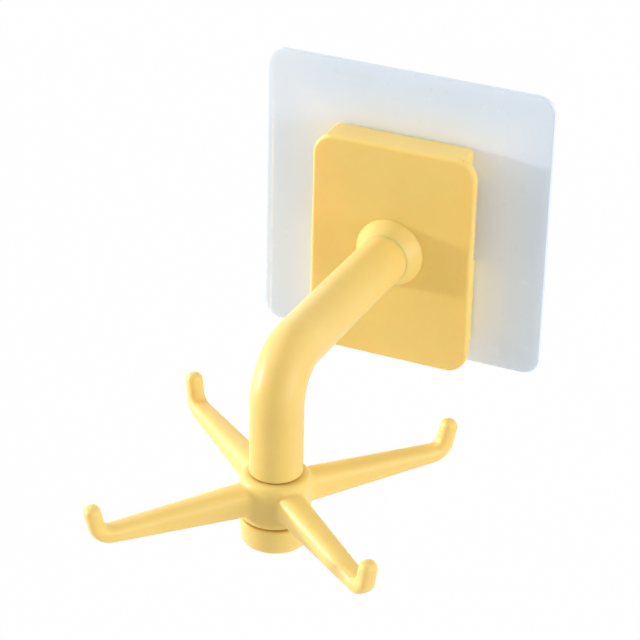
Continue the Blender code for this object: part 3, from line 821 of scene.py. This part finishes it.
class HOOKRACK_OT_wall_pad(bpy.types.Operator):
    """Builds the frosted sheet and the clear film behind it, and dresses the bond to the bracket"""

    bl_idname = "hook_rack.wall_pad"
    bl_label = "Wall pad"

    smallest_corner = 0.0004
    edge = 0.0003
    back_chamfer = 0.0001
    front_chamfer = 0.00009
    # How far the border lies behind the face, how wide it is, and the steps of the fold where it
    # ends, each an inset from there and a share of the drop
    border_drop = 0.00006
    border_width = 0.0019
    fold_steps = ((-0.0009, 0.75), (-0.0004, 0.20), (0.0, 0.03), (0.0005, 0.0), (0.0012, 0.0))
    film_corner = 0.0032
    film_edge = 0.0002
    bubble_margin = 0.004

    def execute(self, context):
        finish, shape, _ = settings()
        sheet = slab(self.square(SHEET_HIGH.x, shape.sheet_corner), self.sheet_depths())
        frosted = frosted_sheet("frosted_sheet", finish, SHEET_HIGH.x)
        piece("finished_sheet", sheet, frosted, "wall_base", ("backing_sheet",))

        gel = clear_gel("clear_gel", finish.gel)
        half = FILM_HIGH.x
        middle = (FILM_HIGH.y + FILM_LOW.y) / 2
        depths = [(self.film_edge, FILM_HIGH.y), (0.0, middle), (self.film_edge, FILM_LOW.y)]
        film = slab(self.square(half, self.film_corner), depths)
        face = square_face("film_face", half - self.bubble_margin, lambda a, b: (a, middle, b))
        scatter = {
            "Density": 9000.0,
            "Spacing": 0.004,
            "Smallest": 0.0002,
            "Largest": 0.0007,
            "Rise": 0.22,
            "Seed": 7,
            "Material": gel,
        }
        bubbles = through_nodes(face, bubbles_tree(), scatter)
        piece("finished_film", film, gel, "wall_base", ("adhesive_film",))
        piece("film_bubbles", bubbles, gel, "wall_base", crisp=False)
        finish_node("bracket_bond_film", gel)
        return {"FINISHED"}

    def square(self, half, corner):
        """A function that gives a square sheet's outline at an inset from its edge."""

        def outline(inset):
            radius = max(corner - inset, self.smallest_corner)
            return rounded_rectangle(half - inset, half - inset, radius)

        return outline

    def sheet_depths(self):
        """The sheet's section from its back, over its edge and its border, to its face."""
        back, front = SHEET_HIGH.y, SHEET_LOW.y
        border = front + self.border_drop
        section = [
            (self.edge, back),
            (self.back_chamfer, back - self.back_chamfer),
            (0.0, back - self.edge),
            (0.0, border + self.edge),
            (self.front_chamfer, border + self.front_chamfer),
            (self.edge, border),
        ]
        for inset, share in self.fold_steps:
            section.append((self.border_width + inset, front + self.border_drop * share))
        return section


class HOOKRACK_OT_bracket(bpy.types.Operator):
    """Gives the hidden wall bracket its moulded finish"""

    bl_idname = "hook_rack.bracket"
    bl_label = "Wall bracket"

    def execute(self, context):
        finish, _, _ = settings()
        finish_node("wall_bracket", moulded_plastic("bracket_plastic", finish, finish.yellow))
        return {"FINISHED"}


class HOOKRACK_OT_cover_plate(bpy.types.Operator):
    """Builds the cover plate with its top block, rails and boss"""

    bl_idname = "hook_rack.cover_plate"
    bl_label = "Cover plate"

    plate_thickness = 0.0026
    flat_inset = 0.002
    back_edge = 0.0002

    block_height = 0.0090
    block_inset = 0.0034
    block_corner = 0.0020
    block_root_corner = 0.0003
    block_edge = 0.00035

    rail_inset = 0.0018
    rail_top = -0.0090
    rail_foot = -0.0346
    rail_web = 0.0041
    rail_lip = 0.0072
    lip_thickness = 0.0039
    rail_chamfer = 0.0018
    rail_edge = 0.00025

    boss_length = 0.0045
    boss_root = 0.0010
    boss_end_wall = 0.00004
    boss_end_edge = 0.00003
    seat_depth = 0.0004
    seat_play = 0.000004
    seat_edge = 0.000012
    # The boss's foot draws in a little, over this height and with this rounding
    foot_draw = 0.0001
    foot_height = 0.0003
    foot_round = 0.0002

    bore_radius = 0.0039
    bore_flat = 0.0032
    pocket_radius = 0.0061
    pocket_depth = 0.0042

    def execute(self, context):
        finish, shape, _ = settings()
        half, tall = PLATE_HIGH.x, (PLATE_HIGH.z - PLATE_LOW.z) / 2
        middle = (PLATE_HIGH.z + PLATE_LOW.z) / 2
        front = PLATE_LOW.y + self.boss_length
        back = front + self.plate_thickness

        def outline(inset):
            points = rounded_rectangle(half - inset, tall - inset, shape.plate_corner - inset)
            return [(x, z + middle) for x, z in points]

        flat = self.flat_inset
        edge = [(flat, back, 0), (0, back, self.back_edge), (0, front, shape.plate_rim), (flat, front, 0)]
        plate = slab(outline, rounded(edge, steps=8))
        rails = [self.rail(side, half - self.rail_inset, back) for side in (1, -1)]
        added = [self.block(back, half - self.block_inset), *rails, self.boss(front, shape)]
        bore = d_bar(self.bore_radius, self.bore_flat, PLATE_LOW.y - SHORT_OVERRUN, back)
        pocket = round_bar(self.pocket_radius, back - self.pocket_depth, back + OVERRUN)
        mesh = combined(plate, added, [bore, pocket])
        plastic = moulded_plastic("plate_plastic", finish, finish.yellow, bleed=0.60)
        piece("finished_plate", mesh, plastic, "hook_frame", ("cover_plate",))
        return {"FINISHED"}

    def block(self, back, half):
        """The block along the plate's top edge."""
        rear, deep = PLATE_HIGH.y, back - self.plate_thickness / 2
        round_corner, root_corner = self.block_corner, self.block_root_corner
        corners = [
            (half, rear, round_corner),
            (-half, rear, round_corner),
            (-half, deep, root_corner),
            (half, deep, root_corner),
        ]
        top = PLATE_HIGH.z
        return prism(rounded(corners, steps=8), top - self.block_height, top, self.block_edge)

    def rail(self, side, outer, back):
        """One rail: a web down the plate's side, its lip turned in behind the bracket's wing."""
        root, rear = back - self.plate_thickness / 2, PLATE_HIGH.y
        web = outer - self.rail_web
        lip = outer - self.rail_lip
        lip_front = rear - self.lip_thickness
        corners = [
            (outer, root),
            (outer, rear),
            (lip, rear),
            (lip, lip_front),
            (web, lip_front),
            (web, root),
        ]
        outline = [(x * side, y) for x, y in corners]
        shape = bmesh.new()
        shape.from_mesh(prism(outline, self.rail_foot, self.rail_top))
        low = self.rail_foot + MERGE_DISTANCE
        beyond = outer - MERGE_DISTANCE
        foot = [e for e in shape.edges if all(v.co.z < low and v.co.x * side > beyond for v in e.verts)]
        bmesh.ops.bevel(shape, geom=foot, offset=self.rail_chamfer, segments=1, affect="EDGES")
        bevel_steep(shape, self.rail_edge, segments=2)
        return to_mesh(shape)

    def boss(self, front, shape):
        """The short flared boss, whose end has a shallow seat for the arm."""
        length, foot = self.boss_length, shape.boss_radius
        seat, seat_radius = length - self.seat_depth, shape.arm_radius + self.seat_play
        corners = [
            (0, seat, 0),
            (seat_radius, seat, 0),
            (seat_radius, length, self.seat_edge),
            (shape.arm_radius + self.boss_end_wall, length, self.boss_end_edge),
            (foot - self.foot_draw, self.foot_height, self.foot_round),
            (foot, 0, 0),
            (foot, -self.boss_root, 0),
            (0, -self.boss_root, 0),
        ]
        return facing_front(spun(rounded(corners, steps=3)), front)


class HOOKRACK_OT_arm(bpy.types.Operator):
    """Sweeps the bent arm along its route and adds its spigot and spindle"""

    bl_idname = "hook_rack.arm"
    bl_label = "Arm"

    # How far the arm starts inside the boss's end, and how far it runs straight out before it rises
    seat_reach = 0.00034
    straight_reach = 0.0013
    corner_steps = 30
    start_edge = 0.00025
    post_edge = 0.00045
    edge_steps = 5
    spigot_radius = 0.0036
    spigot_flat = 0.0029
    spindle_radius = 0.0040

    def execute(self, context):
        finish, shape, _ = settings()
        plastic = moulded_plastic("arm_plastic", finish, finish.arm_yellow)
        start = PLATE_LOW.y + self.seat_reach
        post_end = UPPER_HIGH.z + PLAY
        sizes = {
            "Radius": shape.arm_radius,
            "Corner Radius": shape.elbow_radius,
            "Corner Steps": self.corner_steps,
            "Sides": ROUND_STEPS,
            "Material": plastic,
        }
        bar = through_nodes(self.route(shape, start, post_end), sweep_tree(), sizes)
        spigot = d_bar(self.spigot_radius, self.spigot_flat, start - OVERRUN, ARM_HIGH.y)
        top, foot, radius = post_end + OVERRUN, ARM_LOW.z, self.spindle_radius
        spindle = spun([(0, top), (radius, top), (radius, foot), (0, foot)], FINE_STEPS, POST_Y)
        mesh = combined(bar, [spigot, spindle])
        piece("finished_arm", mesh, plastic, "hook_frame", ("hook_arm",))
        return {"FINISHED"}

    def route(self, shape, start, post_end):
        """The arm's middle line with its end edges drawn in, as a curve whose radii are shares."""
        radius = shape.arm_radius
        rise_start = start - self.straight_reach
        elbow = ARM_LEVEL + (rise_start - POST_Y) * math.tan(shape.arm_rise)
        places = [(y, ARM_LEVEL, share) for y, share in self.end_edge(start, -1, radius, self.start_edge)]
        places += [(rise_start, ARM_LEVEL, 1.0), (POST_Y, elbow, 1.0)]
        ending = self.end_edge(post_end, 1, radius, self.post_edge)
        places += [(POST_Y, z, share) for z, share in reversed(ending)]
        curve = bpy.data.curves.new("arm_route", "CURVE")
        curve.dimensions = "3D"
        spline = curve.splines.new("POLY")
        spline.points.add(len(places) - 1)
        for point, (y, z, share) in zip(spline.points, places):
            point.co = (0, y, z, 1)
            point.radius = share
        return curve

    def end_edge(self, level, direction, radius, edge):
        """Levels and radius shares round an end's edge, from the end inwards."""
        found = []
        for i in range(self.edge_steps + 1):
            angle = QUARTER * i / self.edge_steps
            inwards = level + direction * edge * (1 - math.cos(angle))
            found.append((inwards, 1 - edge * (1 - math.sin(angle)) / radius))
        return found


class HOOKRACK_OT_spider(bpy.types.Operator):
    """Builds the turning hub and its hooks as one moulding with soft fillets"""

    bl_idname = "hook_rack.spider"
    bl_label = "Hub and hooks"

    bore_radius = 0.0043
    pocket_radius = 0.0055
    pocket_edge = 0.0002
    lip_edge = 0.0016
    foot_edge = 0.0003
    top_gap = 0.0004
    top_margin = 0.0015
    under_margin = 0.00165

    root = 0.0062
    root_width = 0.0077
    end_width = 0.0052
    end_height = 0.0044
    tip_thickness = 0.0041
    tip_width = 0.0043
    tip_dome = 0.0018
    dome_power = 0.8
    tip_lean = math.radians(12.9)
    bend_inner = 0.0021
    squareness = 2.7
    straight_steps = 40
    bend_steps = 14
    dome_steps = 10
    section_points = 40

    fillet_radius = 0.0022
    fillet_share = 0.98
    fillet_limit = 0.0013
    # Where the easing of the junction is strongest, out from the hub's wall, and how far it reaches
    junction_place = 0.0002
    junction_reach = 0.0024

    def execute(self, context):
        finish, shape, _ = settings()
        plastic = moulded_plastic("hook_plastic", finish, finish.yellow)
        top = UPPER_HIGH.z + PLAY - self.top_gap
        root_height = shape.hub_height - self.top_margin - self.under_margin
        level = top - self.top_margin - root_height / 2
        hub = spun(self.hub_profile(top, top - shape.hub_height), ROUND_STEPS * 2, POST_Y, ring=True)
        hook = to_mesh(joined_rings(self.hook_rings(shape, root_height)))
        placing = {
            "Count": shape.hook_count,
            "First Angle": shape.first_hook,
            "Centre": (0.0, POST_Y, level),
            "Material": plastic,
        }
        hooks = through_nodes(hook, ring_of_copies_tree(), placing)
        mesh = self.moulded(combined(hub, [hooks]), shape.mould_detail)
        piece("finished_spider", mesh, plastic, "spider", ("hook_spider",), crisp=False)
        return {"FINISHED"}

    def hub_profile(self, top, foot):
        """The hub's ring section: rounded lip, pockets for the washers, bore and under side."""
        bore, pocket = self.bore_radius, self.pocket_radius
        floor, ceiling = UPPER_LOW.z - PLAY, LOWER_HIGH.z + PLAY
        corners = [
            (bore, floor, 0),
            (pocket, floor, 0),
            (pocket, top, self.pocket_edge),
            (HUB_RADIUS, top, self.lip_edge),
            (HUB_RADIUS, foot, self.foot_edge),
            (pocket, foot, 0),
            (pocket, ceiling, 0),
            (bore, ceiling, 0),
        ]
        return rounded(corners, steps=8)

    def hook_rings(self, shape, root_height):
        """Sections of one hook along +X, from inside the hub to the round tip."""
        turn = QUARTER - self.tip_lean
        bend_radius = self.bend_inner + self.tip_thickness / 2
        corner = shape.hook_reach - math.tan(self.tip_lean) * shape.tip_rise
        bend_start = corner - bend_radius * math.tan(turn / 2)
        rings = []
        for i in range(self.straight_steps + 1):
            share = i / self.straight_steps
            out = between(self.root, bend_start, share)
            width = between(self.root_width, self.end_width, share)
            height = between(root_height, self.end_height, share)
            swell = 2 * self.side_fillet(out, width / 2)
            rings.append(self.section(out, 0, 0, width + swell, height))
        for i in range(1, self.bend_steps + 1):
            share = i / self.bend_steps
            slope = turn * share
            out = bend_start + bend_radius * math.sin(slope)
            up = bend_radius * (1 - math.cos(slope))
            width = between(self.end_width, self.tip_width, share)
            height = between(self.end_height, self.tip_thickness, share)
            rings.append(self.section(out, up, slope, width, height))
        for i in range(self.dome_steps):
            angle = QUARTER * i / self.dome_steps
            beyond = self.tip_dome * math.sin(angle)
            around = math.cos(angle) ** self.dome_power
            out = shape.hook_reach + beyond * math.cos(turn)
            up = shape.tip_rise + beyond * math.sin(turn)
            width, height = self.tip_width * around, self.tip_thickness * around
            rings.append(self.section(out, up, turn, width, height))
        return rings

    def side_fillet(self, out, half_width):
        """How far a hook's side swells as it runs into the hub's round wall."""
        radius = self.fillet_radius
        side = half_width + radius
        centre = math.sqrt((HUB_RADIUS + radius) ** 2 - side**2)
        if out >= centre:
            return 0.0
        reach = min(centre - out, radius * self.fillet_share)
        return min(radius - math.sqrt(radius**2 - reach**2), self.fillet_limit)

    def section(self, out, up, slope, width, height):
        """The points round one section, a rounded square across the hook's line."""
        ring = []
        power = 2 / self.squareness
        for i in range(self.section_points):
            angle = 2 * math.pi * i / self.section_points
            side = math.copysign(abs(math.cos(angle)) ** power, math.cos(angle)) * width / 2
            lift = math.copysign(abs(math.sin(angle)) ** power, math.sin(angle)) * height / 2
            ring.append((out - lift * math.sin(slope), side, up + lift * math.cos(slope)))
        return ring

    def moulded(self, mesh, spacing):
        """The union given even faces, then eased where the hooks run into the hub."""
        obj = scratch_object("moulding", mesh)
        remesh = obj.modifiers.new("even_faces", "REMESH")
        remesh.mode = "VOXEL"
        remesh.voxel_size = spacing
        mesh = settled(obj)

        def junction(places):
            away = np.hypot(places[:, 0], places[:, 1] - POST_Y) - HUB_RADIUS
            near = np.clip(1 - np.abs(away - self.junction_place) / self.junction_reach, 0, 1)
            return 0.5 * near * near * (3 - 2 * near)

        # A step out follows each step in, so the grain of the faces goes and the size stays, and
        # the last rounds ease the junction alone
        relax(mesh, (0.5, -0.53))
        relax(mesh, (0.5, -0.52) * 3)
        relax(mesh, (junction,) * 12)
        return mesh


class HOOKRACK_OT_end_cap(bpy.types.Operator):
    """Turns the end cap with its rounded edges, its socket and its screw recess"""

    bl_idname = "hook_rack.end_cap"
    bl_label = "End cap"

    overhang = 0.0001
    taper = 0.0006
    socket_radius = 0.0043
    socket_depth = 0.0029
    web = 0.0012
    head_pocket_radius = 0.0036
    pilot_radius = 0.0018
    top_edge = 0.00055
    foot_edge = 0.0009
    pocket_edge = 0.0003
    pocket_corner = 0.0002

    def execute(self, context):
        finish, _, _ = settings()
        top, foot = CAP_HIGH.z, CAP_LOW.z
        wide = HUB_RADIUS + self.overhang
        floor = top - self.socket_depth
        ceiling = floor - self.web
        corners = [
            (self.socket_radius, top, 0),
            (wide, top, self.top_edge),
            (wide - self.taper, foot, self.foot_edge),
            (self.head_pocket_radius, foot, self.pocket_edge),
            (self.head_pocket_radius, ceiling, self.pocket_corner),
            (self.pilot_radius, ceiling, 0),
            (self.pilot_radius, floor, 0),
            (self.socket_radius, floor, 0),
        ]
        mesh = spun(rounded(corners, steps=6), middle=POST_Y, ring=True)
        plastic = moulded_plastic("cap_plastic", finish, finish.yellow)
        piece("finished_cap", mesh, plastic, "hook_frame", ("end_cap",))
        return {"FINISHED"}


class HOOKRACK_OT_washers(bpy.types.Operator):
    """Turns the two thrust washers and the flat washer, with softened edges"""

    bl_idname = "hook_rack.washers"
    bl_label = "Washers"

    thrust_bore_radius = 0.0043
    thrust_edge = 0.00015
    flat_bore_radius = 0.0018
    flat_edge = 0.00012

    def execute(self, context):
        finish, _, _ = settings()
        nylon = waxy_nylon("waxy_nylon", finish)
        for node, low, high in (
            ("upper_thrust_washer", UPPER_LOW, UPPER_HIGH),
            ("lower_thrust_washer", LOWER_LOW, LOWER_HIGH),
        ):
            bore = self.thrust_bore_radius
            mesh = self.washer(bore, high.x, low.z, high.z, self.thrust_edge, POST_Y)
            piece("finished_" + node, mesh, nylon, "hook_frame", (node,))
        steel = turned_steel("washer_steel", finish)
        thickness = WASHER_HIGH.y - WASHER_LOW.y
        mesh = self.washer(self.flat_bore_radius, WASHER_HIGH.x, 0, thickness, self.flat_edge)
        mesh = facing_front(mesh, WASHER_HIGH.y)
        piece("finished_arm_washer", mesh, steel, "hook_frame", ("arm_washer",))
        return {"FINISHED"}

    def washer(self, bore, radius, low, high, edge, middle=0.0):
        """A flat ring between two levels."""
        corners = [(bore, high, edge), (radius, high, edge), (radius, low, edge), (bore, low, edge)]
        return spun(rounded(corners, steps=3), middle=middle, ring=True)


class HOOKRACK_OT_screws(bpy.types.Operator):
    """Builds the two pan head screws with their cross recesses and threads"""

    bl_idname = "hook_rack.screws"
    bl_label = "Screws"

    head_radius = 0.0033
    head_height = 0.0021
    head_edge = 0.0001
    # Where the head's dome turns down, as shares of its radius and height, and the rounding there
    dome_radius_share = 0.86
    dome_height_share = 0.93
    dome_edge = 0.0009
    shank_radius = 0.00125
    point_length = 0.0016
    thread_radius = 0.00128
    ridge = 0.00022
    pitch = 0.0009
    plain_shank = 0.0012
    steps_a_turn = 20
    drive_width = 0.0008
    drive_length = 0.0036
    drive_depth = 0.0010

    def execute(self, context):
        finish, _, _ = settings()
        steel = turned_steel("screw_steel", finish)
        length = ARM_SCREW_HIGH.y - ARM_SCREW_LOW.y - self.head_height
        # The seat's level above the start of the thread, where the screw's origin is
        seat = length - self.point_length
        turns = (seat - self.plain_shank) / self.pitch
        sizes = {
            "Radius": self.thread_radius,
            "Ridge": self.ridge,
            "Turns": turns,
            "Length": turns * self.pitch,
            "Steps": self.steps_a_turn,
            "Material": steel,
        }
        screw = through_nodes(self.blank(seat), thread_tree(), sizes)
        arm_seat = (0, ARM_SCREW_HIGH.y - self.head_height, ARM_LEVEL)
        cap_seat = (0, POST_Y, CAP_SCREW_LOW.z + self.head_height)
        for node, place, turn in (("arm_screw", arm_seat, -QUARTER), ("cap_screw", cap_seat, math.pi)):
            mesh = screw.copy()
            onto_seat = Matrix.Translation(place) @ Matrix.Rotation(turn, 4, "X")
            mesh.transform(onto_seat @ Matrix.Translation((0, 0, -seat)))
            piece("finished_" + node, mesh, steel, "hook_frame", (node,))
        return {"FINISHED"}

    def blank(self, seat):
        """The screw without its thread, head up, with the start of the thread at the origin."""
        top = seat + self.head_height
        dome_radius = self.head_radius * self.dome_radius_share
        dome_level = seat + self.head_height * self.dome_height_share
        corners = [
            (0, top, 0),
            (dome_radius, dome_level, self.dome_edge),
            (self.head_radius, seat, self.head_edge),
            (self.shank_radius, seat, 0),
        ]
        shank = [(self.shank_radius, 0), (0, -self.point_length)]
        body = spun(rounded(corners, steps=6) + shank, FINE_STEPS)
        cuts = []
        for wide, deep in ((self.drive_length, self.drive_width), (self.drive_width, self.drive_length)):
            outline = [(a * wide / 2, b * deep / 2) for a, b in CORNERS]
            cuts.append(prism(outline, top - self.drive_depth, top + SHORT_OVERRUN))
        return combined(body, (), cuts)


class HOOKRACK_OT_studio(bpy.types.Operator):
    """Sets up the camera, the lights and the pale floor"""

    bl_idname = "hook_rack.studio"
    bl_label = "Studio"

    cool = (0.97, 0.98, 1.08)
    plain = (1.0, 1.0, 1.0)
    warm = (1.0, 0.985, 0.92)
    # Each lamp's name, the way towards it, its width in degrees, its strength and its colour
    lamps = (
        ("left_key", (-1.0, -0.195, 0.085), 4, 1.64, cool),
        ("left_panel", (-1.0, -0.20, 0.10), 35, 1.36, plain),
        ("left_back_panel", (-0.8, 0.6, 0.2), 60, 0.65, plain),
        ("right_panel", (1.0, -0.30, 0.0), 40, 1.72, cool),
        ("right_back_panel", (0.8, 0.6, 0.2), 60, 0.45, plain),
        ("top_left_panel", (-0.8, -0.1, 0.8), 60, 1.16, plain),
        ("top_right_panel", (0.8, -0.1, 0.8), 60, 0.82, plain),
    )
    floor_half = 3.0
    floor_pale = (0.92, 0.92, 0.92)
    floor_deep = (0.90, 0.90, 0.90)

    def execute(self, context):
        _, _, studio = settings()
        self.camera(studio)
        for name, towards, width, strength, colour in self.lamps:
            self.lamp(name, Vector(towards), math.radians(width), strength * studio.lamp_level, colour)
        self.world(studio)
        self.floor(studio)
        context.scene.view_settings.view_transform = "Standard"
        return {"FINISHED"}

    def camera(self, studio):
        """The camera at the photograph's angle."""
        across, height, roll = studio.camera_azimuth, studio.camera_elevation, studio.camera_roll
        level = Vector((math.cos(across), math.sin(across), 0))
        outwards = math.cos(height)
        behind = Vector((math.sin(across) * outwards, -math.cos(across) * outwards, math.sin(height)))
        upright = behind.cross(level)
        right = level * math.cos(roll) + upright * math.sin(roll)
        up = upright * math.cos(roll) - level * math.sin(roll)
        data = bpy.data.cameras.new("camera")
        data.sensor_width = 36.0
        data.lens = studio.lens
        camera = bpy.data.objects.new("camera", data)
        turn = Matrix((right, up, behind)).transposed()
        camera.matrix_world = Matrix.Translation(studio.camera_place) @ turn.to_4x4()
        bpy.context.scene.collection.objects.link(camera)
        bpy.context.scene.camera = camera

    def lamp(self, name, towards, width, strength, colour):
        """One far lamp that lights the rack from a direction."""
        data = bpy.data.lights.new(name, "SUN")
        data.energy = strength
        data.angle = width
        data.color = colour
        lamp = bpy.data.objects.new(name, data)
        lamp.rotation_euler = towards.to_track_quat("Z", "Y").to_euler()
        bpy.context.scene.collection.objects.link(lamp)

    def seen(self, graph):
        """1 for what the camera, a gloss or a clear piece shows, 0 for what lights the rack."""
        path = graph.node("ShaderNodeLightPath")
        names = ("Is Camera Ray", "Is Glossy Ray", "Is Transmission Ray")
        camera, glossy, through = (Value(graph, path.outputs[name]) for name in names)
        return camera.largest(glossy).largest(through)

    def world(self, studio):
        """An even surround that the camera and gloss see as white."""
        world = bpy.data.worlds.new("surround")
        world.use_nodes = True
        bpy.context.scene.world = world
        graph = Graph(world.node_tree)
        fill = {"Color": rgba(self.warm), "Strength": studio.fill_level}
        even = graph.node("ShaderNodeBackground", None, fill)
        white = graph.node("ShaderNodeBackground", None, {"Color": WHITE, "Strength": 1.0})
        both = graph.mixed_shaders(self.seen(graph), even, white)
        graph.node("ShaderNodeOutputWorld", None, {"Surface": both})

    def floor(self, studio):
        """A wide pale floor well below the rack, white to the camera where nothing shades it."""
        level = CAD_BOX[0].z - studio.floor_drop
        mesh = square_face("floor", self.floor_half, lambda a, b: (a, b, level))
        material, graph, place = material_graph("pale_floor")
        cloud = graph.noise(place, 6.0, 3.0)
        colour = graph.mixed(cloud.step(0.3, 0.7), rgba(self.floor_pale), rgba(self.floor_deep))
        matt = {"Base Color": colour, "Roughness": 0.8, "Specular IOR Level": 0.2}
        shader = graph.node("ShaderNodeBsdfPrincipled", None, matt)
        glow = graph.node("ShaderNodeEmission", None, {"Color": WHITE, "Strength": 1.0})
        graph.surface(graph.mixed_shaders(self.seen(graph) * studio.floor_glow, shader, glow))
        mesh.materials.append(material)
        floor = bpy.data.objects.new("floor", mesh)
        bpy.context.scene.collection.objects.link(floor)


class HOOKRACK_PT_panel(bpy.types.Panel):
    """Lists the rack's pieces and settings"""

    bl_idname = "HOOKRACK_PT_panel"
    bl_label = "Hook rack"
    bl_space_type = "VIEW_3D"
    bl_region_type = "UI"
    bl_category = "Hook rack"

    def draw(self, context):
        layout = self.layout
        for group in settings():
            box = layout.box()
            for name in group.__annotations__:
                box.prop(group, name)
        for operator in PIECES:
            layout.operator(operator.bl_idname)


PIECES = (
    HOOKRACK_OT_wall_pad,
    HOOKRACK_OT_bracket,
    HOOKRACK_OT_cover_plate,
    HOOKRACK_OT_arm,
    HOOKRACK_OT_spider,
    HOOKRACK_OT_end_cap,
    HOOKRACK_OT_washers,
    HOOKRACK_OT_screws,
    HOOKRACK_OT_studio,
)
GROUPS = (
    ("hook_rack_finish", HookRackFinish),
    ("hook_rack_shape", HookRackShape),
    ("hook_rack_studio", HookRackStudio),
)


def register():
    """Registers the classes and hangs the settings on the scene."""
    for name, group in GROUPS:
        bpy.utils.register_class(group)
        setattr(bpy.types.Scene, name, bpy.props.PointerProperty(type=group))
    for operator in (*PIECES, HOOKRACK_PT_panel):
        bpy.utils.register_class(operator)


def unregister():
    """Takes the classes and the settings away again."""
    for operator in reversed((*PIECES, HOOKRACK_PT_panel)):
        bpy.utils.unregister_class(operator)
    for name, group in reversed(GROUPS):
        delattr(bpy.types.Scene, name)
        bpy.utils.unregister_class(group)


def main():
    """Builds every piece and the studio."""
    register()
    bpy.ops.hook_rack.studio()
    bpy.ops.hook_rack.wall_pad()
    bpy.ops.hook_rack.bracket()
    bpy.ops.hook_rack.cover_plate()
    bpy.ops.hook_rack.arm()
    bpy.ops.hook_rack.spider()
    bpy.ops.hook_rack.end_cap()
    bpy.ops.hook_rack.washers()
    bpy.ops.hook_rack.screws()


if __name__ == "__main__":
    main()
